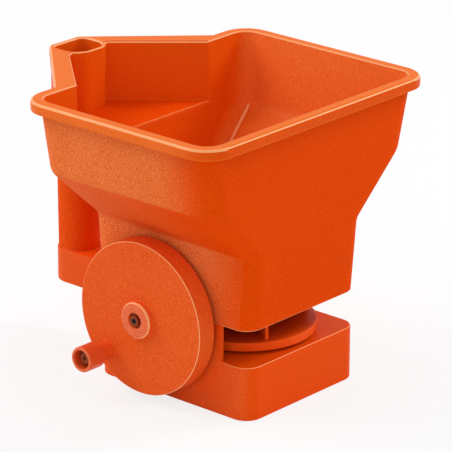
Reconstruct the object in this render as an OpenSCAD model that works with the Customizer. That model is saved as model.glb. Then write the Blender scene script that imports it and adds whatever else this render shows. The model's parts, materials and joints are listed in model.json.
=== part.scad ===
// Hand-cranked spreader: hopper with a hollow rear grip, low base, side crank disc,
// gear train under the deck, vaned spinner and a lever-opened flow gate.
// Millimetres, Z up, ground at z = 0. The front, where the material leaves, faces -Y
// and the crank is on the -X side. The cross line is the X axis, under the middle of the base.

/* [Hopper] */
// Width of the rim over its lips
rim_w = 220; // [200:1:240]
// Distance from the cross line to the front of the rim
rim_front = 84; // [78:1:92]
// Distance from the cross line to the back of the straight rim
rim_back = 80; // [76:1:86]
// Height of the rim above the ground
rim_z = 201; // [192:1:212]
// Plan radius of the rim's corners
rim_r = 20; // [16:1:26]
// Width of the rim's lip, wall included
lip_w = 8.6; // [7:0.1:10]
// Height of the rim's turned-down lip
lip_h = 7.5; // [5:0.1:9]
// Wall of the hopper and its grip
wall = 2.6; // [2:0.1:3]
// Height where the upright sides bend into the funnel
bend_z = 151; // [144:1:156]
// Width over the sides at that bend
bend_w = 196; // [184:1:204]
// Distance from the cross line to the back wall at that bend
bend_back = 73; // [70:0.5:74]
// Plan radius of the corners at that bend
bend_r = 18; // [14:1:22]
// Height where the funnel meets the neck
neck_z = 113; // [106:1:120]
// Width of the neck at its top
neck_w = 112; // [110:1:120]
// How far the two bends are rounded along the wall
bend_round = 4; // [2:1:14]
// Height of the hopper floor's underside above the tower
floor_rise = 12; // [11.5:0.5:14]
// Height of the sloping floor's upper edge
slope_z = 95; // [90:1:102]

/* [Rear pocket] */
// Inside width of the pocket where it leaves the back wall
pocket_w = 128; // [116:1:136]
// Inside width of the pocket at its apex
apex_w = 37.4; // [34:0.2:42]
// Distance from the cross line to the inside of the apex
apex_y = 121.5; // [119:0.5:125]
// Height of the pocket's level floor
pocket_z = 159.3; // [157:0.1:166]
// Width of the lip along the pocket's slanted walls, where it leaves the rim
pocket_lip = 15.3; // [13:0.1:17]
// Width of that lip at the apex
apex_lip = 12.1; // [11.6:0.1:13]
// Reach of the lip past the tube's mouth
apex_over = 0.8; // [0.5:0.1:1.5]

/* [Grip] */
// Distance from the cross line to the grip's axis
grip_y = 132; // [130:0.5:137]
// Diameter of the grip at its foot
grip_d = 28.4; // [25:0.1:29.6]
// Diameter of the grip under the pocket
grip_top_d = 29.8; // [28:0.1:31]
// Width of the grip tube at its mouth
mouth_w = 35; // [33:0.1:36]
// Reach of the tube's mouth in front of the grip's axis
mouth_front = 16.8; // [15:0.1:18.5]
// Reach of the tube's mouth behind the grip's axis
mouth_back = 12.4; // [11.9:0.1:12.9]
// Thickness of the solid foot that takes the grip screw
foot_t = 18; // [14:1:24]

/* [Base] */
// Width of the base
base_w = 110.4; // [108:0.2:116]
// Distance from the cross line to the base's front
base_front = 69; // [68:0.5:72]
// Distance from the cross line to the base's back
base_back = 64; // [62:0.5:67]
// Plan radius of the base's corners
base_r = 12; // [9:1:16]
// Wall of the base
base_wall = 2.6; // [2.2:0.1:3]
// Height of the deck that the spinner turns over
deck_z = 37; // [36:0.5:39]
// Thickness of the deck
deck_t = 2.5; // [2:0.1:3]
// Height of the tower that carries the hopper
tower_z = 62; // [61:0.5:64]
// Front end of the tower's crank-side wall, ahead of the cross line
slot_near = 45.6; // [42:0.2:48]
// Front end of the tower's far wall, ahead of the cross line
slot_far = 26; // [22:1:30]
// Fillet where the far wall comes down to the deck
slot_fillet = 10; // [6:1:14]
// Width of the arm that carries the grip
arm_w = 30; // [28.8:0.2:33]
// Height of the arm's top, where the grip stands
arm_z = 58; // [56:0.5:60]
// Depth of the arm
arm_h = 24; // [18:0.5:25]
// Thickness of the bottom cover
cover_t = 2.6; // [2:0.1:3.2]

/* [Crank] */
// Height of the crank's axle
crank_z = 57.5; // [57:0.5:59]
// Distance of the axle behind the cross line
crank_y = 9; // [7:0.5:11]
// Diameter of the crank disc
disc_d = 104; // [103.6:0.2:106]
// Thickness of the crank disc over its rim
disc_t = 14.4; // [13:0.2:16]
// Gap between the crank disc and the base
disc_gap = 3.3; // [2.8:0.1:4]
// Thickness of the disc's face
face_t = 3; // [2.4:0.1:3.4]
// Diameter of the hub's outer boss
hub_d = 25; // [20:0.5:28]
// Height of the hub's outer boss
hub_h = 5; // [4:0.2:7]
// Diameter of the recess for the hub screw
hub_recess_d = 10.4; // [10:0.1:12]
// Diameter of the fixed axle
axle_d = 8; // [7:0.5:8.5]
// Radius of the knob's path
knob_path = 40; // [38:0.5:41]
// Angle of the knob at rest, from straight back towards down
knob_angle = 45.5; // [0:0.5:360]
// Diameter of the turning knob
knob_d = 17.3; // [16.4:0.1:18]
// Length of the turning knob
knob_l = 14; // [13:0.5:20]
// Length of the fixed shoulder between disc and knob
shoulder_l = 11.8; // [9:0.2:14]
// Diameter of that shoulder
shoulder_d = 12.4; // [11.4:0.2:13]
// Diameter of the peg that the knob turns on
peg_d = 8.6; // [7.6:0.1:9]
// Diameter of the knob's open end
knob_bore = 12.9; // [12.4:0.1:13.4]
// Depth of the knob's open end
knob_bore_l = 7; // [6:0.5:8]

/* [Gears] */
// Module of all gears
gear_m = 1.5; // [1.5:0.01:1.54]
// Backlash between teeth
backlash = 0.3; // [0.24:0.02:0.4]
// Diameter of the cross shaft
cross_d = 5; // [4.4:0.1:5.2]
// Width of the drive pinion
pinion_w = 8; // [7:0.5:9]

/* [Spinner] */
// Distance of the spinner's axis ahead of the cross line
spin_y = 18; // [16:0.5:19]
// Diameter of the spinner
spinner_d = 95.2; // [88:0.2:96]
// Height of the spinner's rim
spinner_rim = 6; // [5:0.5:7]
// Gap between deck and spinner
spinner_gap = 2.2; // [2:0.1:3]
// Height of the spinner's vanes
vane_h = 10.5; // [8:0.5:11]
// Thickness of the spinner's plate and vanes
vane_t = 2.4; // [2:0.1:3]
// Number of vanes
vane_n = 4; // [3:1:6]
// Angle of the first vane at rest
vane_angle = 60; // [0:1:90]
// Diameter of the spinner shaft
shaft_d = 8; // [7:0.5:8]

/* [Gate] */
// Width of the outlet in the hopper floor
port_w = 30; // [24:1:32]
// Length of the outlet
port_l = 16; // [12:0.5:17]
// Travel of the gate
gate_travel = 20; // [18:0.5:20]
// Thickness of the gate
gate_t = 2.4; // [2:0.1:2.6]
// Diameter of the pull rod
rod_d = 4; // [3.6:0.1:4.4]
// Drop from the gate's underside to the rod's axis
rod_drop = 3.6; // [3.5:0.1:3.8]
// Drop from the pocket's floor to the lever's pivot
pivot_drop = 21.3; // [18:0.1:25]
// Distance of the lever's pivot behind the base
pivot_back = 20; // [18:0.5:22]
// Width of the finger lever
lever_w = 16; // [14:0.5:20]
// Thickness of the finger lever
lever_t = 6; // [5:0.5:7]
// Wire diameter of the return spring
wire_d = 0.9; // [0.8:0.05:1]
// Number of free turns of the return spring
spring_turns = 9; // [7:1:10]

/* [Fits] */
// Radial clearance of turning fits
run = 0.05; // [0.03:0.01:0.1]
// Clearance between moving faces
clear = 0.4; // [0.3:0.05:0.5]
// Clearance round the bottom cover
cover_gap = 0.3; // [0.2:0.05:0.4]
// Diameter of the assembly screws
screw_d = 3.5; // [3:0.1:4]
// Diameter of the screw heads
head_d = 7; // [6:0.2:7.4]
// Height of the screw heads
head_h = 2.4; // [2:0.1:2.4]

/* [Hidden] */
$fn = 64;
over = 1;
big = 400;

// Colours as the photographed object shows them
shell_c = "#E8591C";
fitting_c = "#E2552A";
steel_c = "silver";
dark_c = "#3A3A3C";
brass_c = "#B5954B";

// Points per quarter of a lofted corner, and steps round a bend
corner_n = 8;
bend_n = 3;

// Sections of the hopper: height, half width, front, back and the plan radii of its front and back corners
lip_over = lip_w - wall;
neck_in = 0.2;
top_r = rim_r - lip_over;
top_s = [rim_z, rim_w / 2 - lip_over, lip_over - rim_front, rim_back - lip_over, top_r, top_r];
foot_s = [tower_z, base_w / 2 - neck_in, neck_in - base_front, base_back, base_r, base_r];
function part_way(a, b, z) = a + (b - a) * (z - a[0]) / (b[0] - a[0]);
function inset(s, d) = s + [0, -d, d, -d, -d, -d];
bend_s = [bend_z, bend_w / 2, part_way(foot_s, top_s, bend_z)[2], bend_back, bend_r, bend_r];
neck_s = [neck_z, neck_w / 2, part_way(foot_s, top_s, neck_z)[2], part_way(foot_s, top_s, neck_z)[3],
          base_r, base_r];
slope_s = part_way(foot_s, neck_s, slope_z);
back_in = top_s[3] - wall;

// Teeth of the ring in the crank disc, of each pinion and of the crown gear: one turn of the crank
// turns the pinions eight times and the spinner four times
ring_n = 64;
pinion_n = 8;
crown_n = 16;

// Derived sizes of the drive
wall_x = -base_w / 2;
disc_back = wall_x - disc_gap;
disc_front = disc_back - disc_t;
ring_r = gear_m * ring_n / 2;
pinion_r = gear_m * pinion_n / 2;
crown_r = gear_m * crown_n / 2;
pressure_a = 20;
tooth_add = 0.8 * gear_m;
tooth_ded = gear_m;
mesh_c = ring_r - pinion_r;
mesh_dy = -(spin_y + crank_y);
mesh_dz = -sqrt(mesh_c * mesh_c - mesh_dy * mesh_dy);
mesh_a = atan2(mesh_dz, mesh_dy);
cross_y = -spin_y;
cross_z = crank_z + mesh_dz;
crown_pitch_z = cross_z - pinion_r;
crown_face = 4;
pinion_gap = 1.5;

// Derived sizes of the spinner
spin_c = [0, -spin_y, 0];
spinner_z = deck_z + spinner_gap;
plate_z = spinner_z + spinner_rim;
vane_top = plate_z + vane_h;
hub_wall = 5;
hub_r = shaft_d / 2 + hub_wall;
scroll_gap = 3;
scroll_r = spinner_d / 2 + scroll_gap;
scroll_back = 10;
floor_t = 2.4;
floor_z = tower_z + floor_rise;
floor_top = floor_z + floor_t;
shaft_rise = 11;
shaft_top = floor_top + shaft_rise;
shaft_foot = cover_t + clear;

// Derived sizes of the gate
gate_top = floor_z - clear;
gate_under = gate_top - gate_t;
rod_z = gate_under - rod_drop;
port_y = 2;
gate_lap = 3;
gate_w = port_w + 4 * gate_lap;
gate_front = port_y - port_l / 2 - gate_lap;
gate_back = port_y + port_l / 2 + 2 * gate_lap;
tongue_t = 3;
tongue_w = 16;
guide_t = 2;
pivot_y = base_back + pivot_back;
pivot_z = pocket_z - pivot_drop;
rod_bush_wall = 1.2;
rod_bush_d = rod_d + 2 * rod_bush_wall;
rod_boss_wall = 2.2;
rod_boss_d = rod_bush_d + 2 * rod_boss_wall;
rod_boss_l = 2;
rod_boss_y = base_back - wall - rod_boss_l;
rod_boss_end = base_back + rod_boss_l;

// Places of the screws
screw_r = screw_d / 2;
post_wall = 3;
post_r = screw_r + post_wall;
cover_in = 10.2;
cover_ahead = 12;
cover_behind = 9;
cover_side = base_w / 2 - cover_in;
cover_front = cover_ahead - base_front;
cover_mid = 20;
cover_back = base_back - cover_behind;
cover_posts = [[cover_side, cover_front], [-cover_side, cover_front], [cover_side, cover_mid],
               [-cover_side, cover_mid], [0, cover_back]];
tower_in = 12.2;
tower_behind = 10;
tower_side = base_w / 2 - tower_in;
tower_mid = 34;
tower_half = 25;
tower_back = base_back - tower_behind;
hopper_posts = [[tower_side, tower_mid], [-tower_side, tower_mid], [tower_half, tower_back],
                [-tower_half, tower_back]];

// Points of a rectangle with round corners, one outline for each section
function arc(cx, cy, r, a0) =
  [for (i = [0 : corner_n]) [cx + r * cos(a0 + 90 * i / corner_n), cy + r * sin(a0 + 90 * i / corner_n)]];
function outline(s) = concat(
  arc(s[1] - s[4], s[2] + s[4], s[4], -90), arc(s[1] - s[5], s[3] - s[5], s[5], 0),
  arc(s[5] - s[1], s[3] - s[5], s[5], 90), arc(s[4] - s[1], s[2] + s[4], s[4], 180));
// Sections round a bend: a short curve between two points set back along the walls
function bend(a, b, c) =
  let (p = b + (a - b) * bend_round / norm([a[0] - b[0], a[1] - b[1]]),
       q = b + (c - b) * bend_round / norm([c[0] - b[0], c[1] - b[1]]))
  [for (i = [0 : bend_n]) let (t = i / bend_n) (1 - t) * (1 - t) * p + 2 * t * (1 - t) * b + t * t * q];

// Solid whose skin runs through a chain of sections and is capped at the first and the last
module loft(sections) {
  k = 4 * (corner_n + 1);
  n = len(sections);
  points = [for (s = sections) each [for (p = outline(s)) [p[0], p[1], s[0]]]];
  sides = [for (j = [0 : n - 2], i = [0 : k - 1])
    [j * k + i, (j + 1) * k + i, (j + 1) * k + (i + 1) % k, j * k + (i + 1) % k]];
  foot = [for (i = [0 : k - 1]) i];
  head = [for (i = [k - 1 : -1 : 0]) (n - 1) * k + i];
  polyhedron(points, concat([foot], [head], sides), convexity = 6);
}

// Cylinders along X and Y, from the first place to the second
module along_x(x0, x1, d) {
  translate([x0, 0, 0])
    rotate([0, 90, 0])
      cylinder(h = x1 - x0, d = d);
}
module along_y(y0, y1, d) {
  translate([0, y0, 0])
    rotate([-90, 0, 0])
      cylinder(h = y1 - y0, d = d);
}

// Plan of the pocket from one place along Y to another, drawn out from its inside by d and then by e,
// with its two far corners cut off
pocket_slope = (pocket_w - apex_w) / 2 / (apex_y - back_in);
function pocket_half(y, d) =
  pocket_w / 2 + d * sqrt(1 + pocket_slope * pocket_slope) - (y - back_in) * pocket_slope;
module pocket_plan(d, e, from, to, cut) {
  a = [pocket_half(from, d), from];
  b = [pocket_half(to, e), to];
  c = b + (a - b) * cut / (to - from);
  polygon([a, c, b - [cut, 0], [cut - b[0], to], [-c[0], c[1]], [-a[0], from]]);
}

// Sizes of the rim's turned-down edge, the funnel to the outlet and the lever's lugs
lip_t = 2.2;
floor_drop = 2.25 * floor_t;
funnel_side = 22;
funnel_front = 26;
funnel_back = 28;
funnel_r = 8;
seal_wall = 3;
seal_d = shaft_d + 2 * seal_wall;
lug_t = 3;
lug_r = 7;

// Skin of the hopper: under its floor, down inside the skirt, up outside, over the rim and down inside
function rim_s(z, d) = inset([z, rim_w / 2, -rim_front, rim_back, rim_r, rim_r], d);
funnel_s = [floor_top, port_w / 2 + funnel_side, -spin_y - funnel_front, port_y + port_l / 2 + funnel_back,
            funnel_r, funnel_r];
wall_s = concat(bend(foot_s, neck_s, bend_s), bend(neck_s, bend_s, top_s));
hopper_s = concat(
  [inset(funnel_s, -floor_t) - [floor_t, 0, 0, 0, 0, 0]],
  [inset(part_way(foot_s, neck_s, slope_z - floor_drop), wall), inset(foot_s, wall), foot_s],
  wall_s,
  [part_way(bend_s, top_s, rim_z - wall)],
  [rim_s(rim_z - wall, lip_t), rim_s(rim_z - lip_h, lip_t), rim_s(rim_z - lip_h, 0), rim_s(rim_z, 0)],
  [inset(top_s, wall)],
  [for (i = [len(wall_s) - 1 : -1 : 0]) inset(wall_s[i], wall)],
  [inset(slope_s, wall), funnel_s]);

// Grip: a tube that is round at its foot and widens into a mouth level with the rim
grip_flat = 0.2;
grip_flare = 3;
mouth_r = 13;
mouth_r_back = 8;
grip_foot_s = [arm_z, grip_d / 2, grip_y - grip_d / 2, grip_y + grip_d / 2,
               grip_d / 2 - grip_flat, grip_d / 2 - grip_flat];
grip_mid_s = [pocket_z - grip_flare, grip_top_d / 2, grip_y - grip_top_d / 2, grip_y + grip_top_d / 2,
              grip_top_d / 2 - grip_flat, grip_top_d / 2 - grip_flat];
grip_top_s = [rim_z, mouth_w / 2, grip_y - mouth_front, grip_y + mouth_back, mouth_r, mouth_r_back];
grip_wide_s = grip_top_s - [rim_z - pocket_z, 0, 0, 0, 0, 0];
lip_end = grip_y + mouth_back + apex_over;
lip_cut = 3;

module hopper_posts_at(r, h) {
  for (p = hopper_posts)
    translate([p[0], p[1], 0])
      cylinder(h = h, r = r);
}

module lever_lugs() {
  wall_y = part_way(neck_s, bend_s, pivot_z - lug_r)[3] - wall / 2;
  for (side = [-1, 1])
    translate([side * (lever_w / 2 + clear + lug_t / 2) - lug_t / 2, 0, pivot_z])
      rotate([90, 0, 90])
        linear_extrude(lug_t)
          union() {
            translate([pivot_y, 0])
              circle(lug_r);
            translate([wall_y, -lug_r])
              square([pivot_y - wall_y, 2 * lug_r]);
          }
}

module hopper() {
  color(shell_c)
    difference() {
      union() {
        loft(hopper_s);
        translate([0, 0, rim_z - lip_h])
          linear_extrude(lip_h)
            difference() {
              pocket_plan(pocket_lip, apex_lip, back_in + wall / 2, lip_end, lip_cut);
              pocket_plan(pocket_lip - lip_t, apex_lip - lip_t, back_in, lip_end - lip_t, lip_cut);
            }
        translate([0, 0, rim_z - wall])
          linear_extrude(wall)
            pocket_plan(pocket_lip - lip_t / 2, apex_lip - lip_t / 2, back_in + wall / 2,
                        lip_end - lip_t / 2, lip_cut);
        translate([0, 0, pocket_z - wall])
          linear_extrude(rim_z - pocket_z)
            pocket_plan(wall, wall, back_in + wall / 2, apex_y + wall, over);
        loft([grip_foot_s, grip_mid_s, grip_wide_s, grip_top_s]);
        lever_lugs();
        translate([0, 0, rod_z])
          along_y(rod_boss_y, rod_boss_end, rod_boss_d);
        difference() {
          translate([0, 0, tower_z])
            hopper_posts_at(post_r, slope_z - floor_drop - tower_z);
          loft([inset(funnel_s, -floor_t / 2) - [floor_t / 2, 0, 0, 0, 0, 0],
                inset(slope_s, wall - floor_t / 2)]);
        }
      }
      difference() {
        translate([0, 0, pocket_z])
          linear_extrude(rim_z)
            pocket_plan(0, 0, back_in - 2 * wall, apex_y, over);
        loft([grip_foot_s, grip_mid_s, grip_wide_s, grip_top_s]);
      }
      loft([inset(part_way(grip_foot_s, grip_mid_s, arm_z + foot_t), wall), inset(grip_mid_s, wall),
            inset(grip_wide_s, wall), inset(grip_top_s, wall) + [over, 0, 0, 0, 0, 0]]);
      translate([0, grip_y, arm_z - over])
        cylinder(h = foot_t - wall + over, r = screw_r);
      translate([-port_w / 2, port_y - port_l / 2, floor_z - over])
        cube([port_w, port_l, floor_t + 2 * over]);
      translate([0, -spin_y, floor_z - over])
        cylinder(h = floor_t + 2 * over, d = seal_d);
      translate([0, 0, tower_z - over])
        hopper_posts_at(screw_r, pilot + 3 * over);
      translate([0, 0, floor_z - over])
        guide_screws_at(screw_r, guide_grip + over);
      translate([0, 0, rod_z])
        along_y(rod_boss_y - over, rod_boss_end + over, rod_bush_d);
      translate([0, pivot_y, pivot_z])
        along_x(-lever_w, lever_w, rod_d);
      translate([0, crank_y, crank_z])
        along_x(wall_x - over, wall_x + axle_boss_l + 2 * axle_head_t, axle_boss_d + 2 * clear);
    }
}

// Screws: a round head with a cross recess and a plain shank, pointing up from z = 0
recess_w = 1;
module screw(l) {
  difference() {
    union() {
      cylinder(h = head_h, d = head_d);
      cylinder(h = head_h + l, r = screw_r);
    }
    for (a = [0, 90])
      rotate(a)
        translate([-head_d / 4, -recess_w / 2, -over])
          cube([head_d / 2, recess_w, head_h / 2 + over]);
  }
}

// Plan of the base, drawn in by d
module base_plan(d) {
  half = base_w / 2 - d;
  front = -base_front + d;
  back = base_back - d;
  r = base_r - d;
  translate([-half + r, front])
    square([2 * (half - r), back - front]);
  translate([-half, front + r])
    square([2 * half, back - front - 2 * r]);
  for (x = [-half + r, half - r], y = [front + r, back - r])
    translate([x, y])
      circle(r);
}

// Room in front of the tower: upright on the crank side, filleted on the far side
module slot_room() {
  translate([-big, -big - slot_near, deck_z])
    cube([big, big, big]);
  translate([-over, 0, 0])
    rotate([90, 0, 90])
      linear_extrude(big)
        union() {
          translate([-big - slot_far - slot_fillet, deck_z])
            square([big, big]);
          translate([-big - slot_far, deck_z + slot_fillet])
            square([big, big]);
          translate([-slot_far - slot_fillet, deck_z + slot_fillet])
            circle(slot_fillet);
        }
}

// Plan of the arm, drawn in by d
module arm_plan(d) {
  half = arm_w / 2 - d;
  translate([-half, base_back - base_wall])
    square([2 * half, grip_y - base_back + base_wall]);
  translate([0, grip_y])
    circle(half);
}

module cover_posts_at(r, h) {
  for (p = cover_posts)
    translate([p[0], p[1], 0])
      cylinder(h = h, r = r);
}

// Bosses, bushes and the rib of the base
axle_boss_l = 12;
axle_boss_wall = 3.5;
axle_boss_d = axle_d + 2 * axle_boss_wall;
bush_wall = 2;
bush_boss = 2.5;
bush_flange = 1.2;
bush_rim = 2;
deck_boss = 3;
step_h = 5;
rib_t = 6;
rib_x = -crown_r - crown_face - bush_flange - 2 * clear - rib_t;
rib_half = 16;
rib_pilot = 7;
cap_h = 7.5;
cap_screw_y = 11;
cross_bush_d = cross_d + 2 * bush_wall;
shaft_bush_d = shaft_d + 2 * bush_wall;
pilot = 12;
pilot_spare = 1;
screw_seat = 1;

module base_housing() {
  under = deck_z - deck_t;
  color(fitting_c)
    difference() {
      union() {
        difference() {
          linear_extrude(deck_z)
            base_plan(0);
          translate([0, 0, -over])
            linear_extrude(under + over)
              base_plan(base_wall);
        }
        difference() {
          union() {
            translate([0, 0, deck_z - deck_t / 2])
              linear_extrude(tower_z - deck_z + deck_t / 2)
                difference() {
                  base_plan(0);
                  base_plan(base_wall);
                }
            translate([0, 0, deck_z - deck_t / 2])
              linear_extrude(tower_z - deck_z + deck_t / 2)
                difference() {
                  intersection() {
                    translate([0, -spin_y])
                      difference() {
                        circle(scroll_r + base_wall);
                        circle(scroll_r);
                      }
                    base_plan(base_wall / 2);
                  }
                  translate([-big, scroll_back - slot_near - big])
                    square(big);
                }
          }
          slot_room();
        }
        translate([0, crank_y, crank_z])
          along_x(wall_x + base_wall / 2, wall_x + axle_boss_l, axle_boss_d);
        translate([0, cross_y, cross_z])
          along_x(wall_x + base_wall / 2, wall_x + 2 * base_wall, cross_bush_d + 2 * bush_boss);
        translate([rib_x, cross_y - rib_half, cross_z])
          cube([rib_t, 2 * rib_half, under - cross_z + deck_t / 2]);
        translate([0, -spin_y, under - deck_boss])
          cylinder(h = deck_boss + deck_t / 2, d = shaft_bush_d + 2 * bush_boss);
        translate([0, 0, deck_z - deck_t / 2])
          hopper_posts_at(post_r, tower_z - deck_z + deck_t / 2);
        translate([0, 0, cover_t])
          cover_posts_at(post_r, under - cover_t + deck_t / 2);
        difference() {
          translate([0, 0, arm_z - arm_h])
            linear_extrude(arm_h)
              arm_plan(0);
          translate([0, 0, arm_z - arm_h - over])
            linear_extrude(arm_h - base_wall + over)
              intersection() {
                arm_plan(base_wall);
                translate([-big / 2, base_back])
                  square(big);
              }
          translate([-big / 2, base_back - big - base_wall, 0])
            cube([big, big, big]);
        }
        translate([0, grip_y, arm_z - arm_h / 2])
          cylinder(h = arm_h / 2, r = post_r);
      }
      translate([0, crank_y, crank_z])
        along_x(wall_x - over, wall_x + axle_boss_l + over, axle_d);
      translate([0, cross_y, cross_z])
        along_x(wall_x - over, wall_x + 3 * base_wall, cross_bush_d);
      translate([0, cross_y, cross_z])
        along_x(rib_x - over, rib_x + rib_t + over, cross_bush_d);
      cap_screws_at(screw_r, cross_z + rib_pilot);
      translate([0, -spin_y, under - deck_boss - over])
        cylinder(h = deck_t + deck_boss + 2 * over, d = shaft_bush_d);
      translate([0, 0, under - over])
        hopper_posts_at(screw_r + clear, tower_z);
      translate([0, 0, cover_t - over])
        cover_posts_at(screw_r, pilot + over);
      translate([0, grip_y, 0])
        cylinder(h = arm_z + over, r = screw_r + clear);
    }
}

module bottom_cover() {
  color(fitting_c)
    difference() {
      union() {
        linear_extrude(cover_t)
          base_plan(base_wall + cover_gap);
        translate([0, -spin_y, 0])
          cylinder(h = cover_t + step_h, d = shaft_bush_d + 2 * bush_boss);
      }
      translate([0, -spin_y, cover_t])
        cylinder(h = big, d = shaft_bush_d);
      translate([0, 0, -over])
        cover_posts_at(screw_r + clear, big);
      translate([0, 0, -over])
        cover_posts_at(head_d / 2 + clear, cover_t - screw_seat + over);
    }
}

module cover_screws() {
  color(steel_c)
    for (p = cover_posts)
      translate([p[0], p[1], cover_t - screw_seat - head_h / 2])
        screw_flat(pilot - pilot_spare);
}

// Flat-headed screw for the thin cover
module screw_flat(l) {
  cylinder(h = head_h / 2, d = head_d);
  cylinder(h = head_h / 2 + screw_seat + l, r = screw_r);
}

module hopper_screws() {
  color(steel_c)
    for (p = hopper_posts)
      translate([p[0], p[1], deck_z - deck_t - head_h])
        screw(tower_z - deck_z + deck_t + pilot);
}

module grip_screw() {
  color(steel_c)
    translate([0, grip_y, arm_z - arm_h / 2 - head_h])
      screw(arm_h / 2 + pilot);
}

hub_sink = 3;
axle_out = disc_front - hub_h + hub_sink;
axle_head_t = 2;
axle_head_d = axle_d + 2 * axle_head_t;
module crank_axle() {
  color(steel_c)
    translate([0, crank_y, crank_z])
      difference() {
        union() {
          along_x(axle_out, wall_x + axle_boss_l, axle_d);
          along_x(wall_x + axle_boss_l, wall_x + axle_boss_l + axle_head_t, axle_head_d);
        }
        along_x(axle_out - over, axle_out + pilot, screw_d);
      }
}

// Involute gear plan, with teeth thickened or thinned by play at the pitch line
function involute(a) = tan(a) - a * PI / 180;
function flank(rb, r) = r <= rb ? 0 : involute(acos(rb / r));
function gear_plan(n, tip, root, play, steps) =
  let (pitch = gear_m * n / 2,
       rb = pitch * cos(pressure_a),
       half = PI / (2 * n) + play / (2 * pitch) + involute(pressure_a),
       radii = [for (i = [0 : steps]) root + (tip - root) * i / steps])
  [for (k = [0 : n - 1]) each concat(
    [for (r = radii) let (a = 360 * k / n - (half - flank(rb, r)) * 180 / PI) r * [cos(a), sin(a)]],
    [for (i = [steps : -1 : 0]) let (r = radii[i], a = 360 * k / n + (half - flank(rb, r)) * 180 / PI)
      r * [cos(a), sin(a)]])];

module pinion(w, angle) {
  rotate([90, 0, 90])
    linear_extrude(w)
      rotate(angle)
        difference() {
          polygon(gear_plan(pinion_n, pinion_r + tooth_add, pinion_r - tooth_ded, -backlash, 4));
          circle(cross_d / 2);
        }
}

shoulder_out = disc_front - shoulder_l;
peg_l = knob_l - knob_bore_l;
peg_out = shoulder_out - clear - peg_l;
knob_yz = [crank_y + knob_path * cos(knob_angle), crank_z - knob_path * sin(knob_angle)];
hub_short = 1;
module at_knob() {
  translate([0, knob_yz[0], knob_yz[1]])
    children();
}

module crank_disc() {
  color(fitting_c)
    difference() {
      union() {
        translate([0, crank_y, crank_z])
          difference() {
            union() {
              along_x(disc_front, disc_back, disc_d);
              along_x(disc_front - hub_h, disc_front + face_t / 2, hub_d);
            }
            translate([disc_front + face_t, 0, 0])
              rotate([90, 0, 90])
                linear_extrude(disc_t)
                  rotate(mesh_a)
                    polygon(gear_plan(ring_n, ring_r + tooth_ded, ring_r - tooth_add, backlash, 2));
          }
        translate([0, crank_y, crank_z])
          along_x(disc_front + face_t / 2, disc_back - hub_short, axle_d + 2 * hub_wall);
        at_knob() {
          along_x(shoulder_out, disc_front + face_t / 2, shoulder_d);
          along_x(peg_out, shoulder_out + over, peg_d);
        }
      }
      translate([0, crank_y, crank_z]) {
        along_x(disc_front - hub_h - over, disc_back, axle_d + 2 * run);
        along_x(disc_front - hub_h - over, axle_out + clear, hub_recess_d);
      }
      at_knob()
        along_x(peg_out - over, peg_out + pilot, screw_d);
    }
}

washer_t = 1;
module washer(d) {
  difference() {
    along_x(-washer_t, 0, d);
    along_x(-2 * washer_t, washer_t, screw_d);
  }
}

module hub_washer() {
  color(steel_c)
    translate([axle_out, crank_y, crank_z])
      washer(hub_recess_d - 2 * clear);
}

module turned_screw(x, l) {
  translate([x, 0, 0])
    rotate([0, 90, 0])
      translate([0, 0, -head_h])
        screw(l);
}

module hub_screw() {
  color(dark_c)
    translate([0, crank_y, crank_z])
      turned_screw(axle_out - washer_t, pilot);
}

module knob_sleeve() {
  color(fitting_c)
    at_knob()
      difference() {
        along_x(shoulder_out - clear - knob_l, shoulder_out - clear, knob_d);
        along_x(shoulder_out - big, shoulder_out, peg_d + 2 * run);
        along_x(peg_out - knob_bore_l - over, peg_out + clear, knob_bore);
      }
}

module knob_washer() {
  color(steel_c)
    at_knob()
      translate([peg_out, 0, 0])
        washer(knob_bore - 4 * clear);
}

module knob_screw() {
  color(dark_c)
    at_knob()
      turned_screw(peg_out - washer_t, pilot - washer_t - pilot_spare);
}

pinion_x = disc_back - pinion_gap - pinion_w;
module cross_shaft() {
  color(steel_c)
    translate([0, cross_y, cross_z])
      difference() {
        along_x(pinion_x, -crown_pinion_end, cross_d);
        translate([clip_x, 0, 0])
          difference() {
            along_x(0, clip_t, 2 * cross_d);
            along_x(-over, clip_t + over, cross_d - 2 * clip_groove);
          }
      }
}

module drive_pinion() {
  color(dark_c)
    translate([pinion_x, cross_y, cross_z])
      pinion(pinion_w, mesh_a);
}

crown_pinion_end = shaft_bush_d / 2 + bush_boss + 2 * clear;
crown_pinion_w = crown_r + crown_face - crown_pinion_end;
module crown_pinion() {
  color(dark_c)
    translate([-crown_r - crown_face, cross_y, cross_z])
      pinion(crown_pinion_w, -90);
}

clip_x = wall_x + 2 * base_wall + bush_flange + clear;
clip_t = 0.8;
clip_rim = 1.8;
clip_groove = 0.5;
module shaft_clip() {
  color(steel_c)
    translate([clip_x, cross_y, cross_z])
      rotate([90, 0, 90])
        linear_extrude(clip_t)
          difference() {
            circle(cross_d / 2 + clip_rim);
            circle(cross_d / 2 - clip_groove);
            translate([-cross_d / 4, -big])
              square([cross_d / 2, big]);
          }
}

module bush(bore, d, l) {
  difference() {
    union() {
      cylinder(h = l, d = d);
      translate([0, 0, l])
        cylinder(h = bush_flange, d = d + 2 * bush_rim);
    }
    translate([0, 0, -over])
      cylinder(h = l + bush_flange + 2 * over, d = bore);
  }
}

module outer_bush() {
  color(brass_c)
    translate([wall_x, cross_y, cross_z])
      rotate([0, 90, 0])
        bush(cross_d + 2 * run, cross_bush_d, 2 * base_wall);
}

module inner_bush() {
  color(brass_c)
    translate([rib_x, cross_y, cross_z])
      rotate([0, 90, 0])
        bush(cross_d + 2 * run, cross_bush_d, rib_t);
}

module cap_screws_at(r, h) {
  for (side = [-1, 1])
    translate([rib_x + rib_t / 2, cross_y + side * cap_screw_y, 0])
      cylinder(h = h, r = r);
}

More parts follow.
